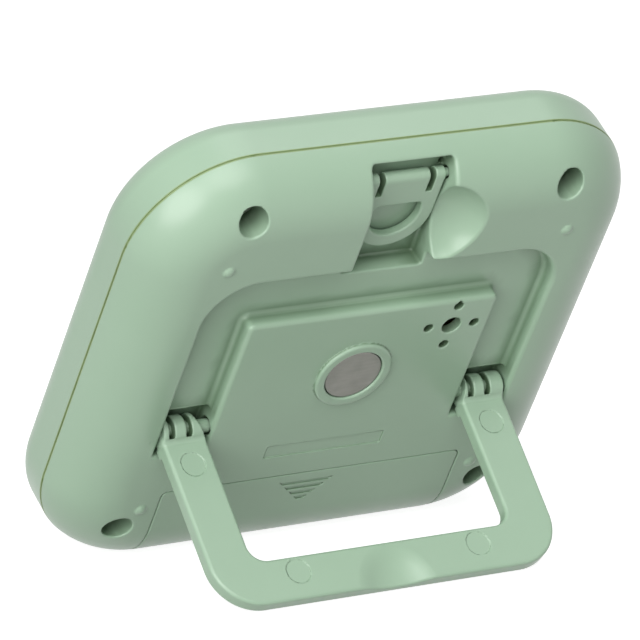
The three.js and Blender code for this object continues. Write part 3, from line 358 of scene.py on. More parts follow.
def either(a, b, radius=0.0):
    """Two solids joined, with a hollow quarter circle of the radius where they meet."""
    return -both(-a, -b, radius)


def without(a, b, radius=0.0):
    """The first solid less the second, with the new edge rounded by the radius."""
    return both(a, -b, radius)


def slab(y, low, high):
    """What lies between two parallel planes: the larger of the distances past each."""
    return np.maximum(low - y, y - high)


def rectangle(x, z, half_x, low_z, high_z, upper=0.0, lower=0.0):
    """Distance in a plane to a rectangle on both sides of x = 0, with round upper and lower corners."""
    dz = z - (low_z + high_z) / 2
    radius = np.where(dz > 0, upper, lower)
    qx = np.abs(x) - half_x + radius
    qz = np.abs(dz) - (high_z - low_z) / 2 + radius
    return np.minimum(np.maximum(qx, qz), 0) + np.hypot(np.maximum(qx, 0), np.maximum(qz, 0)) - radius


def disc(a, b, radius):
    """Distance in a plane to a circle: the way to its middle less the radius."""
    return np.hypot(a, b) - radius


def outline(case, x, z):
    """Distance in the plane of the parting to the case's outline."""
    return rectangle(x, z, case.width / 2, -case.height / 2, case.height / 2, case.corner, case.corner)


def rear_form(case, x, y, z, inset):
    """The rear's outer form drawn in: the outline's distance and the depth make a quarter circle."""
    centre = case.rear - case.shoulder
    reach = math.sqrt(case.shoulder ** 2 - centre ** 2)
    across = np.maximum(outline(case, x, z) + reach, 0)
    return np.hypot(across, np.maximum(y - centre, 0)) - (case.shoulder - inset)


def front_form(case, x, y, z, inset):
    """The front's outer form drawn in: straight sides, and a quarter circle round the front face."""
    across = np.maximum(outline(case, x, z) + case.front_edge, 0)
    ahead = np.maximum(case.front_edge - case.front - y, 0)
    return np.hypot(across, ahead) - (case.front_edge - inset)


def screw_places(case):
    """The four screws' middles, in from the case's sides and ends."""
    half, tall = case.width / 2, case.height / 2
    (upper_x, upper_z), (lower_x, lower_z) = SCREWS_IN
    upper = [(side * (half - upper_x), tall - upper_z) for side in SIDES]
    lower = [(side * (half - lower_x), lower_z - tall) for side in SIDES]
    return upper + lower


def nearest_screw(case, x, z):
    """Distance in the plane to the closest of the four screws' middles."""
    return np.minimum.reduce([np.hypot(x - place[0], z - place[1]) for place in screw_places(case)])


def channel_cut(case, x, y, z):
    """The stand's channel: a round-cornered box less the panel's smaller one, down to the channel's floor."""
    wide = rectangle(x, z, case.channel_half, case.channel_end, case.channel_top, case.channel_corner)
    panel = rectangle(x, z, case.panel_half, case.channel_end - 20, case.panel_top, case.panel_corner)
    floor = case.rear - case.channel_depth
    return both(both(wide, -panel), floor - y, 0.8)


def pocket_cut(case, x, y, z):
    """The hinge pockets: a box on each side, and a cylinder along X that runs past both its walls."""
    middle = (case.pocket_inner + case.channel_half) / 2
    half = (case.channel_half - case.pocket_inner) / 2
    flat = rectangle(np.abs(x) - middle, z, half, case.hinge_z - case.pocket_down,
                     case.hinge_z + case.pocket_up, 0.3, 0.3)
    bore = both(disc(y - case.hinge_y, z - case.hinge_z, PIN_BORE),
                np.abs(np.abs(x) - middle) - half - PIN_BORE_DEEP)
    return np.minimum(both(flat, case.hinge_y - case.pocket_under - y, 0.3), bore)


def recess_cut(case, hook, x, y, z):
    """The hook's recess: a box, two narrow deep slots in its upper corners, a groove of a box's shape round
    the hook's barrel, and a round bore on each side for its pins."""
    groove = hook.barrel + 0.3
    main = both(rectangle(x, z, case.recess_half, case.recess_bottom, case.recess_top, 0.5, 0.5),
                case.recess_floor - y, 0.5)
    relief = both(rectangle(np.abs(x) - RELIEF_X, z, RELIEF_HALF, hook.pivot_z + RELIEF_LOW,
                            hook.pivot_z + RELIEF_HIGH, 0.2, 0.2), RELIEF_FLOOR - y)
    barrel = both(rectangle(x, z, case.recess_half, hook.pivot_z - 2 * groove, case.recess_top, 0.5),
                  hook.pivot_y - groove - y, 0.3)
    bore = both(disc(y - hook.pivot_y, z - hook.pivot_z, 1), np.abs(x) - 8)
    return np.minimum(np.minimum(main, relief), np.minimum(barrel, bore))


def scoop_cut(case, x, y, z):
    """A ball whose rim at the back's face and whose depth are the scoop's."""
    ball = (case.scoop_rim ** 2 + case.scoop_deep ** 2) / (2 * case.scoop_deep)
    height = case.rear - case.scoop_deep + ball
    return np.sqrt((x - case.scoop_x) ** 2 + (y - height) ** 2 + (z - case.scoop_z) ** 2) - ball


def cover_region(cover, x, z, grow):
    """Distance in the plane to the cover's outline, which runs on past the case's foot."""
    return rectangle(x, z, cover.half + grow, -80.0, cover.top + grow, cover.corner + grow)


def bay_cut(cover, x, y, z, grow):
    """The cell's bay: a box that is open at the back and ends below the cell."""
    flat = rectangle(x, z, cover.bay_half + grow, cover.bay_z - cover.bay_wide - grow,
                     cover.bay_z + cover.bay_wide + grow)
    return both(flat, cover.bay_y - cover.bay_wide - grow - y)


def tongue_form(case, cover, x, y, z, grow):
    """The cover's two tongues: flat boxes under the back's skin, across the cover's upper edge."""
    flat = rectangle(np.abs(x) - cover.tongue_x, z, cover.tongue_half + grow,
                     cover.top - cover.tongue_reach - grow, cover.top + cover.tongue_reach + grow)
    top = case.rear - cover.thick
    return both(flat, slab(y, top - cover.tongue_thick - grow, top + 0.3))


def sound_holes(case, x, z):
    """Distance in the plane to the nearest of five circles, four of them on a cross about the middle one."""
    middle = disc(x - case.buzzer_x, z - case.buzzer_z, case.buzzer_hole)
    dx = np.abs(x - case.buzzer_x)
    dz = np.abs(z - case.buzzer_z)
    outer = np.minimum(disc(dx - case.buzzer_pitch, dz, case.buzzer_small),
                       disc(dx, dz - case.buzzer_pitch, case.buzzer_small))
    return np.minimum(middle, outer)


def rear_shell_distance(case, cover, hook):
    """The rear shell: its outer form, hollowed but for a wall round every pocket, less the pockets."""

    def distance(x, y, z):
        outer = rear_form(case, x, y, z, case.skin)
        pockets = either(channel_cut(case, x, y, z), recess_cut(case, hook, x, y, z), case.nose)
        pockets = np.minimum(pockets, pocket_cut(case, x, y, z))
        scoop = scoop_cut(case, x, y, z)
        screw = nearest_screw(case, x, z)
        well = both(screw - case.well, case.well_floor - y)
        seat = both(disc(x, z - case.magnet_z, case.magnet_seat), case.magnet_seat_floor - y)
        under = rear_form(case, x, y, z, cover.seat)
        lid = both(cover_region(cover, x, z, cover.gap), -under)
        bay = bay_cut(cover, x, y, z, 0)
        hollow = rear_form(case, x, y, z, case.wall)
        backed = np.minimum.reduce([pockets, scoop, well, seat, lid]) - case.rib
        ring = both(disc(x, z - case.magnet_z, case.magnet_ring), y - case.rear - case.magnet_ring_rise, 0.5)
        ball = (case.nub ** 2 + case.nub_rise ** 2) / (2 * case.nub_rise)
        nubs = np.sqrt((np.abs(x) - case.nub_x) ** 2 + (np.abs(z) - case.nub_z) ** 2
                       + (y - case.rear - case.nub_rise + ball) ** 2) - ball
        solid = both(outer, np.minimum(-hollow, backed))
        solid = either(solid, both(ring, case.rear - case.wall - y), 0.1)
        solid = either(solid, both(nubs, case.rear - case.wall - y), 0.1)
        solid = both(solid, case.rim - y, 0.1)
        tub = both(bay_cut(cover, x, y, z, 1.2), both(under, slab(y, -30, case.rear)))
        solid = np.minimum(solid, both(tub, z))
        solid = without(solid, pockets, case.edge)
        solid = without(solid, scoop, case.nose)
        solid = without(solid, well, 0.25)
        solid = without(solid, both(screw - case.well_hole, -case.well_floor - y))
        solid = without(solid, lid, cover.edge)
        solid = without(solid, np.minimum(bay, tongue_form(case, cover, x, y, z, 0.3)), 0.1)
        solid = without(solid, seat, 0.35)
        solid = without(solid, both(sound_holes(case, x, z), -y), 0.16)
        tall = case.bar_height / 2
        bar = rectangle(x, z, case.bar_half, case.bar_z - tall, case.bar_z + tall, 0.15, 0.15)
        return without(solid, both(bar, case.rear - case.bar_depth - y, 0.05), 0.06)

    return distance


def battery_cover_distance(case, cover):
    """The cover: a skin of the rear form inside the cover's outline, with tongues and grip lines."""

    def distance(x, y, z):
        skin = both(rear_form(case, x, y, z, case.skin), -rear_form(case, x, y, z, cover.thick))
        solid = both(both(skin, cover_region(cover, x, z, 0), cover.edge), 0.4 - y, cover.edge)
        solid = np.minimum(solid, tongue_form(case, cover, x, y, z, 0))
        down = cover.grip_top - z
        tall = 4 * cover.grip_pitch
        triangle = np.abs(x - cover.grip_x) - cover.grip_half * (1 - down / tall)
        step = np.mod(down, cover.grip_pitch)
        stripe = np.abs(step - cover.grip_line / 2) - cover.grip_line / 2
        lines = both(np.maximum(triangle, slab(down, 0, tall)), stripe)
        return without(solid, both(lines, case.rear - cover.grip_depth - y, 0.08), 0.08)

    return distance


def front_shell_distance(case, cover, front):
    """The front shell: its outer form, hollowed, with a step in its rim, and its window and button holes."""

    def distance(x, y, z):
        outer = front_form(case, x, y, z, case.skin)
        hollow = front_form(case, x, y, z, case.wall)
        solid = both(both(outer, -hollow), y + case.rim, 0.1)
        edge = outline(case, x, z)
        step = both(slab(edge, -case.wall, -case.lip), slab(y, -case.front_edge, case.rim - STEP_SHORT))
        solid = np.minimum(solid, step)
        low = front.window_z - front.lens_tall - front.seat
        high = front.window_z + front.lens_tall + front.seat
        lens = both(rectangle(x, z, front.lens_half + front.seat, low, high, front.lens_corner,
                              front.lens_corner),
                    y + case.front - front.lens_thick - front.seat)
        window = rectangle(x, z, front.window_half, front.window_z - front.window_tall,
                           front.window_z + front.window_tall, 1.5, 1.5)
        near = np.abs(np.abs(np.abs(x) - front.button_pitch / 2) - front.button_pitch / 2)
        tall = front.button_tall + front.gap
        button = rectangle(near, z, front.button_half + front.gap, front.button_z - tall,
                           front.button_z + tall, tall * 0.98, tall * 0.98)
        ahead = y + case.front / 2
        solid = without(solid, lens, 0.12)
        solid = without(solid, both(window, ahead), 0.2)
        return without(solid, both(button, ahead), 0.35)

    return distance


def button_distance(case, front):
    """A button from its middle: a pill with a soft front edge and a wider flange behind the front."""

    def distance(x, y, z):
        face = case.front + front.button_proud
        inside = case.wall - case.front
        pill = rectangle(x, z, front.button_half, -front.button_tall, front.button_tall,
                         front.button_tall * 0.98, front.button_tall * 0.98)
        crown = 0.35 * (np.abs(x) / front.button_half) ** 2 + 0.3 * (z / front.button_tall) ** 2
        cap = both(pill, slab(y, crown * 0.5 - face, inside + 0.5), front.button_edge)
        wide = pill - front.button_flange
        flange = both(wide, slab(y, inside + 0.3, inside + 1.3), 0.1)
        return np.minimum(cap, flange)

    return distance


def window_distance(case, front):
    """The clear window: a slab with round corners and slightly broken edges."""

    def distance(x, y, z):
        flat = rectangle(x, z, front.lens_half, front.window_z - front.lens_tall,
                         front.window_z + front.lens_tall, front.lens_corner, front.lens_corner)
        return both(flat, slab(y, -case.front, front.lens_thick - case.front), 0.2)

    return distance


def stand_distance(stand, upward):
    """The stand: a U-shaped plate, two barrels with pins and heels, and what is cut into them. The slope on
    each barrel's inner end faces the way that is up when the timer stands."""

    def distance(x, y, z):
        side = np.abs(x)
        middle = (stand.outer + stand.inner) / 2
        half = (stand.outer - stand.inner) / 2
        bar_in = stand.reach - stand.bar
        plan = rectangle(x, z, stand.outer, -stand.reach, stand.reach, stand.outer_corner)
        opening = rectangle(x, z, stand.inner, -2 * stand.reach, bar_in, stand.inner_corner)
        plan = both(both(plan, -opening), -z)
        plate = both(plan, slab(y, stand.low, stand.high), stand.edge)
        across = np.abs(side - middle) - half
        barrel = both(disc(y, z, stand.barrel), across, 0.3)
        heel = both(across, np.maximum(slab(y, stand.high - 0.5, stand.heel_high),
                                       slab(z, stand.heel_low, stand.heel_end)), 0.25)
        body = either(either(plate, barrel, 0.6), heel, 0.2)
        low = np.where(x > 0, stand.inner, -stand.outer)
        first = x - low - stand.first_finger
        second = first - stand.slot - stand.middle_finger
        slots = np.minimum(np.abs(first - stand.slot / 2), np.abs(second - stand.slot / 2)) - stand.slot / 2
        body = without(body, both(slots, z - stand.slot_end, 0.2), 0.22)
        past = y * upward[1] + z * upward[2] + stand.lead_in_start
        width = np.where(x > 0, stand.lead_in, stand.narrow_lead_in)
        slope = past * width / (stand.lead_in_start + stand.barrel)
        body = without(body, both(side - stand.inner - slope, -past), 0.12)
        body = np.minimum(body, both(disc(y, z, stand.pin), across - stand.pin_reach, 0.15))
        ball = (stand.dish ** 2 + stand.dish_depth ** 2) / (2 * stand.dish_depth)
        depth = stand.low + stand.dish_depth - ball
        dish = np.sqrt(x ** 2 + (y - depth) ** 2 + (z - stand.reach) ** 2) - ball
        body = without(body, dish, 0.4)
        marks = np.minimum(disc(side - middle, z - stand.arm_mark, stand.mark),
                           disc(side - stand.bar_mark, z - bar_in - stand.bar_mark_in, stand.mark))
        return without(body, both(marks, y - stand.low - stand.mark_depth, 0.04), 0.09)

    return distance


def hook_distance(hook):
    """The hook: a plate with a half-round end and a D-shaped eye, and a barrel with two pins."""

    def distance(x, y, z):
        centre = hook.half - hook.reach
        plan = both(np.hypot(x, np.minimum(z - centre, 0)) - hook.half, z)
        eye = both(disc(x, z - centre, hook.half - hook.ring), z + hook.bridge, 0.35)
        plate = both(both(plan, -eye), slab(y, hook.barrel - hook.thick, hook.barrel), hook.edge)
        barrel = both(disc(y, z, hook.barrel), np.abs(x) - hook.half, 0.25)
        body = either(plate, barrel, 0.15)
        gap = np.abs(np.abs(x) - hook.tab - hook.slot / 2) - hook.slot / 2
        body = without(body, both(gap, -hook.slot_reach - z, 0.2), 0.2)
        pins = both(disc(y, z, hook.pin), slab(np.abs(x), hook.half - 0.5, hook.half + hook.pin_reach), 0.1)
        return np.minimum(body, pins)

    return distance


def screw_distance(x, y, z):
    """A pan-head screw with a cross slot, from under its head."""
    head = both(disc(x, z, 1.9), slab(y, 0, 1.4 - 0.1 * (x * x + z * z) / 3.6), 0.25)
    shank = both(disc(x, z, 1 - 0.08 * np.cos(2 * np.pi * y / 0.8)), slab(y, -8.4, 0.5), 0.2)
    cross = np.minimum(both(np.abs(x) - 1.14, np.abs(z) - 0.25), both(np.abs(z) - 1.14, np.abs(x) - 0.25))
    return without(either(head, shank, 0.2), both(cross, 0.7 - y), 0.06)


# Turning a distance into a mesh

def grid_line(low, high, step, fine):
    """Places along one axis, a step apart, and closer together inside the fine stretch if there is one."""
    edges = [low - 2 * step, high + 2 * step, step]
    if fine is None:
        return np.arange(edges[0], edges[1] + step, step)
    start, end, small = fine
    return np.concatenate([np.arange(start, edges[0] - step, -step)[::-1][:-1], np.arange(start, end, small),
                           np.arange(end, edges[1] + step, step)])


def surface_net(distance, lines):
    """The surface where the distance is nought, on a grid of boxes: each box that it passes through gets
    one point, the middle of its crossings with the box's edges, and each crossed grid edge one face."""
    counts = np.array([len(line) for line in lines])
    grid = np.meshgrid(*lines, indexing="ij", sparse=True)
    value = np.broadcast_to(distance(*grid), counts).astype(np.float32)
    inside = value < 0
    total = np.zeros(counts - 1, np.int8)
    for corner in np.ndindex(2, 2, 2):
        total += inside[tuple(slice(c, c + n - 1) for c, n in zip(corner, counts))]
    active = (total > 0) & (total < 8)
    cells = np.argwhere(active)
    index = np.full(active.shape, -1, np.int64)
    index[active] = np.arange(len(cells))
    sums = np.zeros((len(cells), 3))
    hits = np.zeros(len(cells))
    faces = []
    for axis in range(3):
        u, w = (axis + 1) % 3, (axis + 2) % 3
        ahead = np.eye(3, dtype=int)[axis]
        for shift in np.ndindex(2, 2):
            start = cells.copy()
            start[:, u] += shift[0]
            start[:, w] += shift[1]
            a = value[tuple(start.T)]
            b = value[tuple((start + ahead).T)]
            crossed = (a < 0) != (b < 0)
            point = start[crossed].astype(float)
            point[:, axis] += a[crossed] / (a[crossed] - b[crossed])
            sums[crossed] += point
            hits[crossed] += 1
        first = [slice(None)] * 3
        second = [slice(None)] * 3
        first[axis] = slice(None, -1)
        second[axis] = slice(1, None)
        edges = np.argwhere(inside[tuple(first)] != inside[tuple(second)])
        leaving = inside[tuple(edges.T)]
        back_u = np.eye(3, dtype=int)[u]
        back_w = np.eye(3, dtype=int)[w]
        around = [edges - back_u - back_w, edges - back_w, edges, edges - back_u]
        quads = np.stack([index[tuple(cell.T)] for cell in around], axis=1)
        quads[~leaving] = quads[~leaving][:, ::-1]
        faces.append(quads)
    middle = sums / hits[:, None]
    points = [np.interp(middle[:, axis], np.arange(counts[axis]), lines[axis]) for axis in range(3)]
    return np.stack(points, axis=1), np.concatenate(faces)


def slopes(distance, points, reach):
    """How the distance changes along each axis, from its values a short reach to either side."""
    result = np.empty_like(points)
    for axis in range(3):
        ahead = points.copy()
        behind = points.copy()
        ahead[:, axis] += reach
        behind[:, axis] -= reach
        result[:, axis] = (distance(*ahead.T) - distance(*behind.T)) / (2 * reach)
    return result


def settle(distance, points, limit):
    """Moves each point on to the surface along the distance's slope, at most by the limit each time."""
    for _ in range(3):
        slope = slopes(distance, points, 0.01)
        move = slope * (distance(*points.T) / np.maximum((slope ** 2).sum(1), 0.05))[:, None]
        size = np.linalg.norm(move, axis=1)
        move *= np.minimum(1, limit / np.maximum(size, 1e-9))[:, None]
        points = points - move
    return points


def enclosure(distance, points, normals):
    """How far each point lies in a corner: the share of the way gone by which the solid comes closer, as a
    mean over three reaches, each along the normal and half way between it and four tangents. It measures
    where shade falls, and the case plastic paints shade by it."""
    first = np.cross(normals, [0.31, 0.27, 0.91])
    first /= np.maximum(np.linalg.norm(first, axis=1), 1e-9)[:, None]
    second = np.cross(normals, first)
    ways = [normals] + [(normals + lean) * math.sqrt(0.5) for lean in (first, -first, second, -second)]
    total = np.zeros(len(points))
    for reach in (1.5, 3.0, 5.0):
        for way in ways:
            total += np.clip(1 - distance(*(points + reach * way).T) / reach, 0, 1)
    return total / 15


def make_mesh(name, points, faces, normals=None):
    """A smooth mesh from arrays of points and of faces with equal corner counts."""
    mesh = bpy.data.meshes.new(name)
    count, corners = faces.shape
    mesh.vertices.add(len(points))
    mesh.vertices.foreach_set("co", np.asarray(points, np.float32).ravel())
    mesh.loops.add(count * corners)
    mesh.loops.foreach_set("vertex_index", faces.astype(np.int32).ravel())
    mesh.polygons.add(count)
    mesh.polygons.foreach_set("loop_start", np.arange(0, count * corners, corners, dtype=np.int32))
    mesh.polygons.foreach_set("use_smooth", np.ones(count, bool))
    mesh.update(calc_edges=True)
    mesh.validate()
    if normals is not None:
        mesh.normals_split_custom_set_from_vertices(np.asarray(normals, np.float32).tolist())
    return mesh


def faced_outward(mesh, apart=None):
    """Joins the points that are closer than a distance, if one is given, and turns every face outward."""
    work = bmesh.new()
    work.from_mesh(mesh)
    if apart:
        bmesh.ops.remove_doubles(work, verts=work.verts, dist=apart)
    bmesh.ops.recalc_face_normals(work, faces=work.faces)
    work.to_mesh(mesh)
    work.free()
    return mesh


def add_object(name, mesh):
    """An object with the mesh, linked to the scene."""
    piece = bpy.data.objects.new(name, mesh)
    bpy.context.scene.collection.objects.link(piece)
    return piece


def read_mesh(mesh):
    """A mesh's points and triangles, as arrays."""
    points = np.empty(len(mesh.vertices) * 3, np.float32)
    mesh.vertices.foreach_get("co", points)
    mesh.calc_loop_triangles()
    faces = np.empty(len(mesh.loop_triangles) * 3, np.int32)
    mesh.loop_triangles.foreach_get("vertices", faces)
    return points.reshape(-1, 3).astype(float), faces.reshape(-1, 3)


def fewer_faces(points, faces, wanted):
    """Collapses the flattest places first, until the mesh has about the wanted number of triangles."""
    share = wanted / (2 * len(faces))
    if share >= 1:
        return points, faces
    rough = add_object("rough", make_mesh("rough", points, faces))
    rough.modifiers.new("Fewer faces", "DECIMATE").ratio = share
    evaluated = rough.evaluated_get(bpy.context.evaluated_depsgraph_get())
    result = read_mesh(evaluated.to_mesh())
    evaluated.to_mesh_clear()
    bpy.data.objects.remove(rough)
    return result


def shorter_edges(points, faces, longest):
    """Halves each edge longer than the limit, a few times over, so that wide flat faces carry points too."""
    mesh = make_mesh("wide", points, faces)
    work = bmesh.new()
    work.from_mesh(mesh)
    for _ in range(4):
        wide = [edge for edge in work.edges if edge.calc_length() > longest]
        bmesh.ops.subdivide_edges(work, edges=wide, cuts=1)
        bmesh.ops.triangulate(work, faces=[face for face in work.faces if len(face.verts) > 3])
    work.to_mesh(mesh)
    work.free()
    result = read_mesh(mesh)
    bpy.data.meshes.remove(mesh)
    return result


def moulded(name, distance, low, high, step, triangles, placements, fine=None):
    """Pieces with the shape that a distance describes, one at each placement, with exact normals."""
    lines = [grid_line(low[axis], high[axis], step, fine if axis == 1 else None) for axis in range(3)]
    points, faces = surface_net(distance, lines)
    points = settle(distance, points, step / 2)
    points, faces = shorter_edges(*fewer_faces(points, faces, triangles), 15 * step)
    points = settle(distance, points, step / 4)
    normal = slopes(distance, points, 0.04)
    normal /= np.maximum(np.linalg.norm(normal, axis=1), 1e-9)[:, None]
    # How deep in a corner each point lies: the mask by which the case plastic paints shade.
    corner_shade = enclosure(distance, points, normal)
    pieces = []
    for index, place in enumerate(placements):
        label = name if len(placements) == 1 else f"{name}_{index + 1}"
        mesh = make_mesh(label, place.points(points), faces, place.directions(normal))
        mesh.attributes.new("corner_shade", "FLOAT", "POINT").data.foreach_set("value", corner_shade)
        pieces.append(add_object(label, mesh))
    return pieces


def turned(name, profile, segments, place):
    """A round piece about its own Y: the profile's radius and height, carried round a full turn."""
    radius, height = np.array(profile, float).T
    angle = np.arange(segments) * 2 * np.pi / segments
    ring = np.stack([np.outer(radius, np.cos(angle)), np.repeat(height[:, None], segments, 1),
                     np.outer(radius, np.sin(angle))], axis=-1)
    rows = np.arange(len(radius) - 1)[:, None]
    columns = np.arange(segments)[None, :]
    following = (columns + 1) % segments
    faces = np.stack([rows * segments + columns, (rows + 1) * segments + columns,
                      (rows + 1) * segments + following, rows * segments + following], axis=-1).reshape(-1, 4)
    mesh = make_mesh(name, place.points(ring.reshape(-1, 3)), faces)
    return add_object(name, faced_outward(mesh, 1e-7))


def swept(name, path, radius, segments, place):
    """A round wire: a circle set square to the path at each of its points, closed by a ring's middle."""
    path = np.array(path, float)
    ahead = np.gradient(path, axis=0)
    ahead /= np.linalg.norm(ahead, axis=1)[:, None]
    side = np.cross(ahead, [1.0, 0.0, 0.0])
    side /= np.linalg.norm(side, axis=1)[:, None]
    other = np.cross(ahead, side)
    angle = np.arange(segments) * 2 * np.pi / segments
    spoke = side[:, None] * np.cos(angle)[:, None] + other[:, None] * np.sin(angle)[:, None]
    ring = path[:, None] + radius * spoke
    points = np.concatenate([ring.reshape(-1, 3), path[:1], path[-1:]])
    rows = np.arange(len(path) - 1)[:, None]
    columns = np.arange(segments)[None, :]
    following = (columns + 1) % segments
    first, last = rows * segments, (rows + 1) * segments
    quads = np.stack([first + columns, last + columns, last + following, first + following], axis=-1)
    quads = quads.reshape(-1, 4)
    triangles = np.concatenate([quads[:, [0, 1, 2]], quads[:, [0, 2, 3]]])
    middle = len(path) * segments
    end = (len(path) - 1) * segments
    near = np.stack([np.full(segments, middle), columns[0], following[0]], axis=1)
    far = np.stack([np.full(segments, middle + 1), end + following[0], end + columns[0]], axis=1)
    mesh = make_mesh(name, place.points(points), np.concatenate([triangles, near, far]))
    return add_object(name, faced_outward(mesh))


def softened(node, width):
    """A copy of a plain CAD node with its flat faces merged and its edges broken by a small bevel."""
    mesh = frame["nodes"][node].data.copy()
    mesh.materials.clear()
    work = bmesh.new()
    work.from_mesh(mesh)
    bmesh.ops.remove_doubles(work, verts=work.verts, dist=2e-6)
    bmesh.ops.dissolve_limit(work, angle_limit=math.radians(1), verts=work.verts, edges=work.edges)
    work.to_mesh(mesh)
    work.free()
    mesh.shade_smooth()
    piece = add_object(node + "_soft", mesh)
    bevel = piece.modifiers.new("Broken edges", "BEVEL")
    bevel.width = width / 1000
    bevel.segments = 2
    bevel.limit_method = "ANGLE"
    bevel.angle_limit = math.radians(40)
    bevel.harden_normals = True
    return piece


# Finishes

class Finish:
    """One material's tree of nodes, with short calls that add a node and join it to others."""

    def __init__(self, name, **values):
        self.material = bpy.data.materials.new(name)
        self.material.use_nodes = True
        self.tree = self.material.node_tree
        self.shader = self.tree.nodes["Principled BSDF"]
        place = self.tree.nodes.new("ShaderNodeTexCoord")
        self.place = place.outputs["Object"]
        for key, value in values.items():
            self.shader.inputs[key].default_value = value

    def add(self, kind, **settings):
        node = self.tree.nodes.new(kind)
        for key, value in settings.items():
            setattr(node, key, value)
        return node

    def join(self, source, target):
        self.tree.links.new(source, target)

    def stretched(self, scale, turn=(0, 0, 0)):
        """The place, turned and scaled along each axis, which draws a texture out into streaks."""
        mapping = self.add("ShaderNodeMapping")
        mapping.inputs["Scale"].default_value = scale
        mapping.inputs["Rotation"].default_value = turn
        self.join(self.place, mapping.inputs["Vector"])
        return mapping.outputs["Vector"]

    def noise(self, millimetres, detail=2.0, roughness=0.5, vector=None):
        """Clouds whose larger forms are about so many millimetres across."""
        node = self.add("ShaderNodeTexNoise")
        node.inputs["Scale"].default_value = 1000 / millimetres
        node.inputs["Detail"].default_value = detail
        node.inputs["Roughness"].default_value = roughness
        self.join(vector or self.place, node.inputs["Vector"])
        return node.outputs["Fac"]

    def spread(self, source, low, high, to_low=0.0, to_high=1.0):
        """A value carried from one range to another, and held at its ends."""
        node = self.add("ShaderNodeMapRange")
        for key, value in zip(("From Min", "From Max", "To Min", "To Max"), (low, high, to_low, to_high)):
            node.inputs[key].default_value = value
        self.join(source, node.inputs["Value"])
        return node.outputs["Result"]

    def blend(self, factor, first, second):
        """The first colour at nought, the second at one. Each is three numbers or another node's colour."""
        node = self.add("ShaderNodeMix", data_type="RGBA")
        self.join(factor, node.inputs["Factor"])
        for value, socket in ((first, node.inputs[6]), (second, node.inputs[7])):
            if isinstance(value, bpy.types.NodeSocket):
                self.join(value, socket)
            else:
                socket.default_value = (*value, 1)
        return node.outputs[2]

    def near_plane(self, across, point, full, none):
        """One within the full distance of a plane, in millimetres, fading to nought at the other."""
        along = self.add("ShaderNodeVectorMath", operation="DOT_PRODUCT")
        self.join(self.place, along.inputs[0])
        along.inputs[1].default_value = tuple(across)
        away = self.add("ShaderNodeMath", operation="SUBTRACT")
        self.join(along.outputs["Value"], away.inputs[0])
        away.inputs[1].default_value = float(np.dot(across, point))
        size = self.add("ShaderNodeMath", operation="ABSOLUTE")
        self.join(away.outputs[0], size.inputs[0])
        return self.spread(size.outputs[0], full / 1000, none / 1000, 1.0, 0.0)

    def bump(self, height, strength, millimetres, under=None):
        """Small relief from a height, on top of another bump if one is given."""
        node = self.add("ShaderNodeBump")
        node.inputs["Strength"].default_value = strength
        node.inputs["Distance"].default_value = millimetres / 1000
        self.join(height, node.inputs["Height"])
        if under is not None:
            self.join(under, node.inputs["Normal"])
        self.join(node.outputs["Normal"], self.shader.inputs["Normal"])
        return node.outputs["Normal"]

    def colour(self, source):
        self.join(source, self.shader.inputs["Base Color"])

    def roughness(self, source):
        self.join(source, self.shader.inputs["Roughness"])


def moulded_plastic(name, colour_a, colour_b, low, high, corner=None, seam=None):
    """Satin moulded plastic: cloudy flow marks in the colour, a fine orange-peel skin and faint scuffs. The
    corner colour is painted
    shade: it darkens the plastic where the mesh's own corner_shade attribute says that the surface lies in a
    corner, slot or well.
    A seam is a plane, as its direction and a point, and the colour of the shade painted in the open seam
    along it."""
    finish = Finish(name, **{"Specular IOR Level": 0.5})
    flow = finish.noise(22, 3, 0.55)
    fine = finish.noise(1.1, 2, 0.6)
    tone = finish.blend(finish.spread(flow, 0.15, 0.85), colour_a, colour_b)
    speck = finish.spread(fine, 0.1, 0.9, 0.0, 0.2)
    plain = finish.blend(speck, tone, colour_b)
    if corner:
        corner_shade = finish.add("ShaderNodeAttribute", attribute_name="corner_shade").outputs["Fac"]
        # Painted shade: the corner colour darkens the plastic in corners, slots and wells.
        plain = finish.blend(finish.spread(corner_shade, 0.4, 0.85, 0.0, 0.9), plain, corner)
    # Painted shade: a darker olive band along the parting plane stands for the shadow in the open seam.
    finish.colour(finish.blend(finish.near_plane(*seam[:2], 0.2, 0.32), plain, seam[2]) if seam else plain)
    scuff = finish.noise(7, 2, 0.5, finish.stretched((1, 1, 2.5), (0.4, 0.2, 0.7)))
    finish.roughness(finish.spread(scuff, 0.05, 0.95, low, high))
    peel = finish.bump(finish.noise(0.55, 1, 0.4), 0.05, 0.05)
    finish.bump(finish.noise(9, 1, 0.5), 0.06, 0.35, peel)
    return finish.material


def dull_metal(name, tint, rough, grain, wear):
    """Plated metal: fine grain, cloudy dullness and short scratches that lie across each other."""
    finish = Finish(name, Metallic=1.0)
    cloud = finish.noise(2.6, 3, 0.5)
    darker = tuple(0.86 * value for value in tint)
    finish.colour(finish.blend(finish.spread(cloud, 0.35, 0.7), tint, darker))
    scratch = finish.noise(grain, 3, 0.7, finish.stretched((0.12, 1, 1), (0.3, 0.5, 0.6)))
    finish.roughness(finish.spread(scratch, 0.3, 0.7, rough, rough + wear))
    finish.bump(scratch, 0.12, 0.03)
    return finish.material


def clear_plastic(name):
    """A clear polished window with faint handling haze."""
    finish = Finish(name, IOR=1.49, **{"Transmission Weight": 1.0, "Base Color": (0.97, 0.985, 0.975, 1)})
    finish.roughness(finish.spread(finish.noise(12, 3, 0.6), 0.35, 0.75, 0.015, 0.06))
    finish.bump(finish.noise(7, 1, 0.4), 0.03, 0.05)
    return finish.material


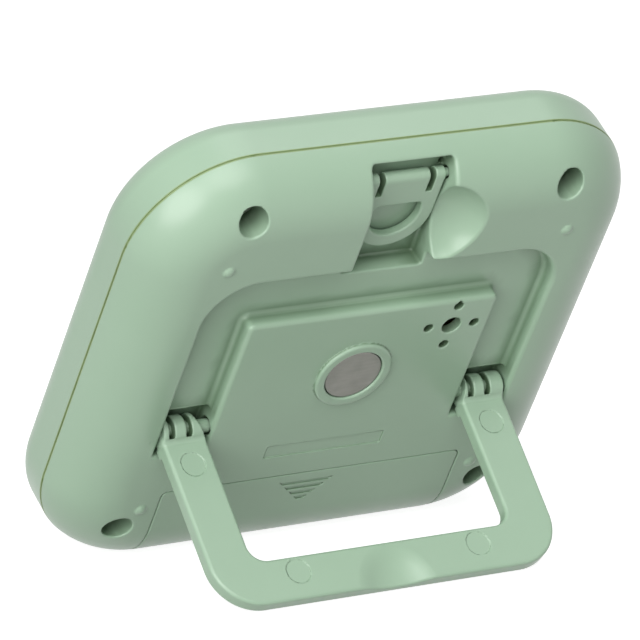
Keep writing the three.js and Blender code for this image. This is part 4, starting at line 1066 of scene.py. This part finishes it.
def display_glass(name, tint):
    """Display glass with the faint lines of its electrodes."""
    finish = Finish(name, **{"Specular IOR Level": 0.5})
    line = finish.add("ShaderNodeTexWave", wave_type="BANDS", bands_direction="X")
    line.inputs["Scale"].default_value = 420
    finish.join(finish.place, line.inputs["Vector"])
    darker = tuple(0.9 * value for value in tint)
    cloud = finish.blend(finish.spread(finish.noise(18, 2), 0.3, 0.7), tint, darker)
    finish.colour(finish.blend(finish.spread(line.outputs["Fac"], 0.9, 1, 0, 0.25), cloud, darker))
    finish.roughness(finish.spread(finish.noise(3, 3), 0.3, 0.7, 0.1, 0.2))
    return finish.material


def printed_ink(name):
    """The dark bars of the digits, slightly uneven."""
    finish = Finish(name)
    finish.colour(finish.blend(finish.noise(0.8, 3), (0.02, 0.022, 0.02), (0.045, 0.05, 0.04)))
    finish.roughness(finish.spread(finish.noise(1.5, 2), 0.3, 0.7, 0.25, 0.4))
    return finish.material


def circuit_laminate(name, tint):
    """Green solder mask over darker copper tracks that run in steps."""
    finish = Finish(name, **{"Specular IOR Level": 0.55})
    track = finish.add("ShaderNodeTexBrick")
    track.inputs["Scale"].default_value = 130
    track.inputs["Mortar Size"].default_value = 0.05
    track.inputs["Brick Width"].default_value = 0.9
    finish.join(finish.stretched((1, 1, 1), (0.54, 0, 0)), track.inputs["Vector"])
    lighter = tuple(1.7 * value + 0.01 for value in tint)
    finish.colour(finish.blend(finish.spread(track.outputs["Fac"], 0.3, 0.7), tint, lighter))
    finish.roughness(finish.spread(finish.noise(4, 3), 0.3, 0.7, 0.3, 0.45))
    finish.bump(track.outputs["Fac"], 0.2, 0.05)
    return finish.material


def resin(name, dark, light, low, high):
    """A cast or fired body with fine pits."""
    finish = Finish(name)
    finish.colour(finish.blend(finish.spread(finish.noise(0.7, 3), 0.3, 0.7), dark, light))
    finish.roughness(finish.spread(finish.noise(1.3, 2), 0.3, 0.7, low, high))
    finish.bump(finish.noise(0.4, 2), 0.15, 0.05)
    return finish.material


def striped_rubber(name):
    """The display's connector: thin dark and pale layers along its length."""
    finish = Finish(name)
    layer = finish.add("ShaderNodeTexWave", wave_type="BANDS", bands_direction="X")
    layer.inputs["Scale"].default_value = 600
    finish.join(finish.place, layer.inputs["Vector"])
    finish.colour(finish.blend(layer.outputs["Fac"], (0.02, 0.02, 0.022), (0.24, 0.25, 0.25)))
    finish.roughness(finish.spread(finish.noise(1, 2), 0.3, 0.7, 0.7, 0.9))
    return finish.material


def cell_film(name, tint, end_x, band):
    """The cell's film: a plain colour with a pale band at its raised end, and a thin gloss."""
    finish = Finish(name, Metallic=0.35, **{"Coat Weight": 0.4, "Coat Roughness": 0.12})
    part = finish.add("ShaderNodeSeparateXYZ")
    finish.join(finish.place, part.inputs["Vector"])
    edge = finish.spread(part.outputs["X"], end_x - band, end_x - band + 0.0002)
    base = finish.blend(finish.spread(finish.noise(6, 3), 0.3, 0.7), tint, tuple(0.8 * v for v in tint))
    finish.colour(finish.blend(edge, base, (0.62, 0.5, 0.28)))
    finish.roughness(finish.spread(finish.noise(2, 3), 0.3, 0.7, 0.24, 0.36))
    return finish.material


def insulation(name, tint):
    """A lead's glossy insulation, with slightly darker clouds."""
    finish = Finish(name)
    darker = tuple(0.75 * value for value in tint)
    finish.colour(finish.blend(finish.spread(finish.noise(1.2, 2), 0.3, 0.7), tint, darker))
    finish.roughness(finish.spread(finish.noise(0.8, 2), 0.3, 0.7, 0.35, 0.5))
    return finish.material


def finished(pieces, material, body, slot, *nodes):
    """Gives pieces their finish and body, and hides the frame nodes that they take the place of, one each."""
    for index, piece in enumerate(pieces):
        piece.data.materials.clear()
        piece.data.materials.append(material)
        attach(piece, body)
        if nodes:
            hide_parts(nodes[index])


# Operators

class TIMER_OT_rear_shell(bpy.types.Operator):
    """Build the rear shell with its channel, recess, scoop, wells and sound holes"""

    bl_idname = "timer.rear_shell"
    bl_label = "Rear Shell"

    def execute(self, context):
        case, cover, hook = (sizes(context, name) for name in ("timer_case", "timer_cover", "timer_hook"))
        colours = context.scene.timer_finishes
        place = case_placement(case)
        shell = moulded("rear_case", rear_shell_distance(case, cover, hook),
                        (-case.width / 2, -6.5, -case.height / 2),
                        (case.width / 2, case.rear + 0.6, case.height / 2),
                        0.3, 110000, [place], (0, 0.6, 0.1))
        # The case plastic paints shade into corners, slots and wells, and along the seam between the shells.
        plastic = moulded_plastic("case plastic", tuple(colours.case), tuple(colours.case_deep), 0.27, 0.35,
                                  tuple(colours.corner), (place.axes[1], place.origin, tuple(colours.seam)))
        finished(shell, plastic, "case", "case_plastic", "rear_shell")
        return {"FINISHED"}


class TIMER_OT_front_shell(bpy.types.Operator):
    """Build the front shell with its window and button holes"""

    bl_idname = "timer.front_shell"
    bl_label = "Front Shell"

    def execute(self, context):
        case, cover, front = (sizes(context, name) for name in ("timer_case", "timer_cover", "timer_front"))
        shell = moulded("front_case", front_shell_distance(case, cover, front),
                        (-case.width / 2, -case.front, -case.height / 2),
                        (case.width / 2, case.rim, case.height / 2), 0.36, 90000, [case_placement(case)],
                        (-0.7, 0.4, 0.1))
        finished(shell, bpy.data.materials["case plastic"], "case", "case_plastic", "front_shell")
        return {"FINISHED"}


class TIMER_OT_battery_cover(bpy.types.Operator):
    """Build the battery cover with its grip lines and tongues"""

    bl_idname = "timer.battery_cover"
    bl_label = "Battery Cover"

    def execute(self, context):
        case, cover = sizes(context, "timer_case"), sizes(context, "timer_cover")
        piece = moulded("battery_door", battery_cover_distance(case, cover),
                        (-cover.half, 0, -case.height / 2), (cover.half, case.rear, cover.top + 2),
                        0.22, 60000, [case_placement(case)])
        finished(piece, bpy.data.materials["case plastic"], "battery_cover", "case_plastic", "battery_cover")
        return {"FINISHED"}


class TIMER_OT_stand(bpy.types.Operator):
    """Build the fold-out stand with its barrels, fingers, marks and thumb dish"""

    bl_idname = "timer.stand"
    bl_label = "Stand"

    def execute(self, context):
        case, stand = sizes(context, "timer_case"), sizes(context, "timer_stand")
        reach = stand.outer + stand.pin_reach
        place = stand_placement(case)
        upward = place.axes @ np.array([0, 0, 1])
        piece = moulded("fold_out_stand", stand_distance(stand, upward),
                        (-reach, -stand.barrel, -stand.barrel), (reach, stand.heel_high, stand.reach),
                        0.24, 90000, [place])
        finished(piece, bpy.data.materials["case plastic"], "stand", "case_plastic", "stand")
        return {"FINISHED"}


class TIMER_OT_hook(bpy.types.Operator):
    """Build the fold-out hook"""

    bl_idname = "timer.hook"
    bl_label = "Hook"

    def execute(self, context):
        case, hook = sizes(context, "timer_case"), sizes(context, "timer_hook")
        reach = hook.half + hook.pin_reach
        place = case_placement(case).moved(0, hook.pivot_y, hook.pivot_z)
        piece = moulded("hanging_hook", hook_distance(hook), (-reach, -hook.barrel, -hook.reach),
                        (reach, hook.barrel, hook.barrel), 0.13, 50000, [place])
        finished(piece, bpy.data.materials["case plastic"], "hook", "case_plastic", "hook")
        return {"FINISHED"}


class TIMER_OT_magnet_and_screws(bpy.types.Operator):
    """Build the magnet and the four case screws"""

    bl_idname = "timer.magnet_and_screws"
    bl_label = "Magnet and Screws"

    def execute(self, context):
        case = sizes(context, "timer_case")
        colours = context.scene.timer_finishes
        place = case_placement(case).moved(0, case.magnet_face, case.magnet_z)
        radius, thick, edge = case.magnet, 2.6, 0.25
        inner = radius - edge
        turns = np.linspace(0, math.pi / 2, 5)
        arc = [(inner + edge * math.sin(turn), edge * math.cos(turn) - edge) for turn in turns]
        rows = [(r, 0) for r in np.linspace(0, inner, 8)[:-1]]
        profile = rows + arc + [(radius, edge - thick), (inner, -thick), (0, -thick)]
        magnet = turned("back_magnet", profile, 72, place)
        metal = dull_metal("dull nickel", tuple(colours.magnet), 0.34, 0.5, 0.2)
        finished([magnet], metal, "case", "magnet_metal", "magnet")
        places = [case_placement(case).moved(x, case.well_floor + 0.15, z) for x, z in screw_places(case)]
        screws = moulded("cross_screw", screw_distance, (-2, -8.5, -2), (2, 1.5, 2), 0.13, 9000, places)
        zinc = dull_metal("zinc plate", tuple(colours.screw), 0.3, 0.4, 0.2)
        finished(screws, zinc, "case", "screw_metal", *[f"case_screw_{i}" for i in range(1, 5)])
        return {"FINISHED"}


def digit_strips(front):
    """The six-sided outlines of the bars of four noughts, in millimetres, and of the two dots between them.
    Each bar ends in a point, a small gap short of the middle of the bar that crosses it."""
    half, tall, bar, gap = front.digit_half, front.digit_tall, front.digit_bar, 0.3
    low, high = bar / 2 + gap, tall - 1.5 * bar
    tip, shoulder = half - bar / 2 - gap, half - bar - gap
    upright = np.array([[0, bar - tall], [bar / 2, -high], [bar / 2, -low], [0, -gap],
                        [-bar / 2, -low], [-bar / 2, -high]])
    flat = np.array([[-tip, 0], [-shoulder, -bar / 2], [shoulder, -bar / 2],
                     [tip, 0], [shoulder, bar / 2], [-shoulder, bar / 2]])
    dot = 0.9 * np.array([[-1, -1], [1, -1], [1, 1], [-1, 1], [-1, 0.5], [-1, -0.5]])
    strips = []
    for centre in (-21, -8.5, 8.5, 21):
        for side in SIDES:
            strips += [upright * [1, end] + [centre + side * half, 0] for end in SIDES]
            strips.append(flat + [centre, side * (tall - bar / 2)])
    return strips + [dot + [0, end * 4] for end in SIDES]


class TIMER_OT_front_pieces(bpy.types.Operator):
    """Build the window, the three buttons and the display's plain digits"""

    bl_idname = "timer.front_pieces"
    bl_label = "Window, Buttons and Digits"

    def execute(self, context):
        case, front = sizes(context, "timer_case"), sizes(context, "timer_front")
        colours = context.scene.timer_finishes
        whole = case_placement(case)
        lens = moulded("clear_window", window_distance(case, front),
                       (-front.lens_half, -case.front, front.window_z - front.lens_tall),
                       (front.lens_half, front.lens_thick - case.front, front.window_z + front.lens_tall),
                       0.3, 12000, [whole])
        finished(lens, clear_plastic("clear window"), "case", "window_plastic", "display_window")
        wide = front.button_half + front.button_flange
        tall = front.button_tall + front.button_flange
        places = [whole.moved(step * front.button_pitch, 0, front.button_z) for step in (-1, 0, 1)]
        caps = moulded("press_button", button_distance(case, front),
                       (-wide, -case.front - front.button_proud, -tall),
                       (wide, case.wall - case.front + 1.4, tall), 0.26, 14000, places)
        duller = tuple(0.94 * value for value in colours.button)
        white = moulded_plastic("button plastic", tuple(colours.button), duller, 0.4, 0.5)
        for cap, name in zip(caps, ("minute_button", "second_button", "start_stop_button")):
            finished([cap], white, name, "button_plastic", name)
        glass = softened("lcd_glass", 0.15)
        finished([glass], display_glass("display glass", tuple(colours.display)), "case", "display_glass",
                 "lcd_glass")
        self.digits(case, front, whole)
        return {"FINISHED"}

    def digits(self, case, front, whole):
        """Four digits that read nought: each bar is a flat six-sided strip just in front of the glass."""
        face = case.wall - case.front + 0.3 - 0.04
        points, faces = [], []
        for strip in digit_strips(front):
            area = np.sum(strip[:, 0] * np.roll(strip[:, 1], -1) - strip[:, 1] * np.roll(strip[:, 0], -1))
            flat_points = strip if area > 0 else strip[::-1]
            start = 12 * len(faces) // 8
            near = [(x, face, z + front.window_z) for x, z in flat_points]
            far = [(x, face + 0.03, z + front.window_z) for x, z in flat_points]
            points += near + far
            faces.append([start + i for i in range(6)])
            faces.append([start + 11 - i for i in range(6)])
            sides = [(start + i, start + (i + 1) % 6) for i in range(6)]
            faces += [[a, a + 6, b + 6, b] for a, b in sides]
        mesh = bpy.data.meshes.new("digit_bars")
        mesh.from_pydata(whole.points(points).tolist(), [], faces)
        bars = add_object("digit_bars", faced_outward(mesh))
        finished([bars], printed_ink("display ink"), "case", "display_glass")


class TIMER_OT_battery_bay(bpy.types.Operator):
    """Build the battery cell, its contacts and the coil spring"""

    bl_idname = "timer.battery_bay"
    bl_label = "Battery Bay"

    def execute(self, context):
        case, cover = sizes(context, "timer_case"), sizes(context, "timer_cover")
        colours = context.scene.timer_finishes
        low, high = (np.array(corner) * 1000 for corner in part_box("battery_cell"))
        nub, radius = 0.8, cover.cell
        tall = high[0] - low[0]
        whole = case_placement(case)
        axes = [whole.axes[1], whole.axes[0], -whole.axes[2]]
        origin = whole.points([(low[0] + high[0]) / 2, cover.bay_y, cover.bay_z])
        top = tall / 2
        neck = top - nub
        profile = [(0, -top), (2.6, -top), (2.8, 0.1 - top), (radius - 0.5, 0.1 - top),
                   (radius - 0.12, 0.25 - top), (radius, 0.5 - top), (radius, neck - 0.5),
                   (radius - 0.12, neck - 0.2), (radius - 0.5, neck), (2.1, neck), (1.9, neck + 0.15),
                   (1.9, top - 0.15), (1.75, top), (0, top)]
        cell = turned("battery_can", profile, 64, Placement(origin, axes))
        film = cell_film("cell film", tuple(colours.jacket), high[0] / 1000, 0.009)
        finished([cell], film, "case", "cell_jacket", "battery_cell")
        nickel = dull_metal("nickel contact", (0.6, 0.59, 0.56), 0.2, 0.4, 0.15)
        for node in ("contact_plate", "spring_plate"):
            finished([softened(node, 0.08)], nickel, "case", "contact_metal", node)
        spring_low, spring_high = (np.array(corner) * 1000 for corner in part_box("contact_spring"))
        wire, wide, coils = 0.35, 2.4, 3
        turn = np.linspace(0, 1, 121)
        angle = turn * coils * 2 * np.pi
        coil = np.stack([spring_low[0] + wire + turn * (spring_high[0] - spring_low[0] - 2 * wire),
                         cover.bay_y + wide * np.cos(angle), cover.bay_z + wide * np.sin(angle)], axis=1)
        spring = swept("coil_spring", coil, wire, 12, whole)
        finished([spring], nickel, "case", "contact_metal", "contact_spring")
        return {"FINISHED"}


class TIMER_OT_inner_parts(bpy.types.Operator):
    """Finish the board, its parts, the buzzer and the key membrane inside the case"""

    bl_idname = "timer.inner_parts"
    bl_label = "Inner Parts"

    def execute(self, context):
        colours = context.scene.timer_finishes
        zinc = bpy.data.materials["zinc plate"]
        finishes = {
            "lcd_connector": (striped_rubber("connector rubber"), "strip_rubber", 0.1),
            "lcd_holder": (
                moulded_plastic("holder plastic", (0.72, 0.73, 0.7), (0.64, 0.65, 0.62), 0.45, 0.55),
                "holder_plastic", 0.15),
            "circuit_board": (
                circuit_laminate("board laminate", tuple(colours.board)), "board_laminate", 0.08),
            "controller_blob": (resin("blob resin", (0.008, 0.008, 0.01), (0.02, 0.021, 0.024), 0.2, 0.4),
                                "blob_resin", 0.08),
            "quartz_crystal": (dull_metal("drawn can", (0.6, 0.6, 0.58), 0.22, 0.5, 0.15), "can_metal", 0.1),
            "capacitor": (resin("capacitor ceramic", (0.36, 0.2, 0.09), (0.5, 0.3, 0.15), 0.5, 0.7),
                          "capacitor_ceramic", 0.1),
            "buzzer_disc": (
                dull_metal("buzzer brass", (0.68, 0.47, 0.17), 0.25, 0.5, 0.2), "buzzer_brass", 0.08),
            "buzzer_lead_red": (insulation("red insulation", (0.4, 0.015, 0.012)), "red_lead", 0.04),
            "buzzer_lead_black": (insulation("black insulation", (0.015, 0.015, 0.016)), "black_lead", 0.04),
            "key_membrane": (resin("key rubber", (0.44, 0.46, 0.45), (0.52, 0.54, 0.53), 0.6, 0.8),
                             "key_rubber", 0.12),
        }
        finishes.update({f"board_screw_{i}": (zinc, "screw_metal", 0.08) for i in range(1, 5)})
        for node, (material, slot, width) in finishes.items():
            finished([softened(node, width)], material, "case", slot, node)
        return {"FINISHED"}


class TIMER_OT_stage(bpy.types.Operator):
    """Set the pale floor, the soft lights, the white surroundings and the camera"""

    bl_idname = "timer.stage"
    bl_label = "Stage"

    def execute(self, context):
        context.scene.view_settings.view_transform = "Standard"
        self.floor()
        self.surroundings(context.scene)
        self.lights(context.scene)
        self.camera(context.scene)
        return {"FINISHED"}

    def floor(self):
        """A wide flat floor. To the camera and to mirrors it is nearly white, and keeps a soft shadow."""
        half = 6.0
        corners = np.array([[-half, -half, 0], [half, -half, 0], [half, half, 0], [-half, half, 0]])
        floor = add_object("pale_floor", make_mesh("pale_floor", corners, np.array([[0, 1, 2, 3]])))
        finish = Finish("pale floor", Roughness=0.9, **{"Specular IOR Level": 0.1})
        cloud = finish.spread(finish.noise(300, 2), 0.3, 0.7)
        finish.colour(finish.blend(cloud, (0.5, 0.5, 0.49), (0.47, 0.47, 0.46)))
        glow = finish.add("ShaderNodeEmission")
        glow.inputs["Strength"].default_value = 0.9
        dim = finish.add("ShaderNodeBsdfDiffuse")
        dim.inputs["Color"].default_value = (0.4, 0.4, 0.4, 1)
        together = finish.add("ShaderNodeAddShader")
        finish.join(glow.outputs[0], together.inputs[0])
        finish.join(dim.outputs[0], together.inputs[1])
        choose = finish.add("ShaderNodeMixShader")
        finish.join(seen_directly(finish.tree), choose.inputs[0])
        finish.join(finish.shader.outputs[0], choose.inputs[1])
        finish.join(together.outputs[0], choose.inputs[2])
        finish.join(choose.outputs[0], finish.tree.nodes["Material Output"].inputs["Surface"])
        floor.data.materials.append(finish.material)

    def surroundings(self, scene):
        """A faint even light, which looks white where it is seen directly."""
        world = bpy.data.worlds.new("white room")
        world.use_nodes = True
        tree = world.node_tree
        lit = tree.nodes["Background"]
        lit.inputs["Color"].default_value = (0.96, 0.98, 1, 1)
        lit.inputs["Strength"].default_value = WORLD_STRENGTH
        white = tree.nodes.new("ShaderNodeBackground")
        white.inputs["Color"].default_value = (1, 1, 1, 1)
        choose = tree.nodes.new("ShaderNodeMixShader")
        tree.links.new(seen_directly(tree), choose.inputs[0])
        tree.links.new(lit.outputs[0], choose.inputs[1])
        tree.links.new(white.outputs[0], choose.inputs[2])
        tree.links.new(choose.outputs[0], tree.nodes["World Output"].inputs["Surface"])
        scene.world = world

    def lights(self, scene):
        """Round soft lamps, each turned to face the timer."""
        for name, place, size, power in LAMPS:
            lamp = bpy.data.lights.new(name, "AREA")
            lamp.shape = "DISK"
            lamp.size = size
            lamp.energy = power
            holder = bpy.data.objects.new(name, lamp)
            scene.collection.objects.link(holder)
            holder.location = place
            holder.rotation_euler = (Vector(TARGET) - Vector(place)).to_track_quat("-Z", "Y").to_euler()

    def camera(self, scene):
        """A long lens, placed and turned as the photograph's camera was."""
        azimuth, elevation, roll = (math.radians(turn) for turn in CAMERA_TURNS)
        toward = Vector((math.sin(azimuth) * math.cos(elevation), -math.cos(azimuth) * math.cos(elevation),
                         math.sin(elevation)))
        level = Vector((-toward.y, toward.x, 0)).normalized()
        above = toward.cross(level)
        right = math.cos(roll) * level + math.sin(roll) * above
        over = toward.cross(right)
        data = bpy.data.cameras.new("camera")
        data.lens = CAMERA_LENS
        data.sensor_width = 36
        data.clip_start = 0.05
        camera = bpy.data.objects.new("camera", data)
        scene.collection.objects.link(camera)
        turn = Matrix((right, over, toward)).transposed().to_4x4()
        camera.matrix_world = Matrix.Translation(CAMERA_PLACE) @ turn
        scene.camera = camera


def seen_directly(tree):
    """One where a ray comes from the camera, a mirror or clear glass, and nought for all other light."""
    path = tree.nodes.new("ShaderNodeLightPath")
    first = tree.nodes.new("ShaderNodeMath")
    first.operation = "MAXIMUM"
    second = tree.nodes.new("ShaderNodeMath")
    second.operation = "MAXIMUM"
    tree.links.new(path.outputs["Is Camera Ray"], first.inputs[0])
    tree.links.new(path.outputs["Is Glossy Ray"], first.inputs[1])
    tree.links.new(first.outputs[0], second.inputs[0])
    tree.links.new(path.outputs["Is Transmission Ray"], second.inputs[1])
    return second.outputs[0]


OPERATORS = (
    TIMER_OT_rear_shell,
    TIMER_OT_front_shell,
    TIMER_OT_battery_cover,
    TIMER_OT_stand,
    TIMER_OT_hook,
    TIMER_OT_magnet_and_screws,
    TIMER_OT_front_pieces,
    TIMER_OT_battery_bay,
    TIMER_OT_inner_parts,
    TIMER_OT_stage,
)


class TIMER_PT_panel(bpy.types.Panel):
    """Lists the timer's pieces in the 3D view's sidebar"""

    bl_idname = "TIMER_PT_panel"
    bl_label = "Digital Timer"
    bl_space_type = "VIEW_3D"
    bl_region_type = "UI"
    bl_category = "Timer"

    def draw(self, context):
        for operator in OPERATORS:
            self.layout.operator(operator.bl_idname)


CLASSES = (*GROUPS.values(), Finishes, *OPERATORS, TIMER_PT_panel)


def register():
    for cls in CLASSES:
        bpy.utils.register_class(cls)
    for name, cls in GROUPS.items():
        setattr(bpy.types.Scene, name, PointerProperty(type=cls))
    bpy.types.Scene.timer_finishes = PointerProperty(type=Finishes)


def unregister():
    del bpy.types.Scene.timer_finishes
    for name in GROUPS:
        delattr(bpy.types.Scene, name)
    for cls in reversed(CLASSES):
        bpy.utils.unregister_class(cls)


def main():
    register()
    for operator in OPERATORS:
        build = getattr(bpy.ops.timer, operator.bl_idname.split(".")[1])
        build()
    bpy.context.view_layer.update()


if __name__ == "__main__":
    main()
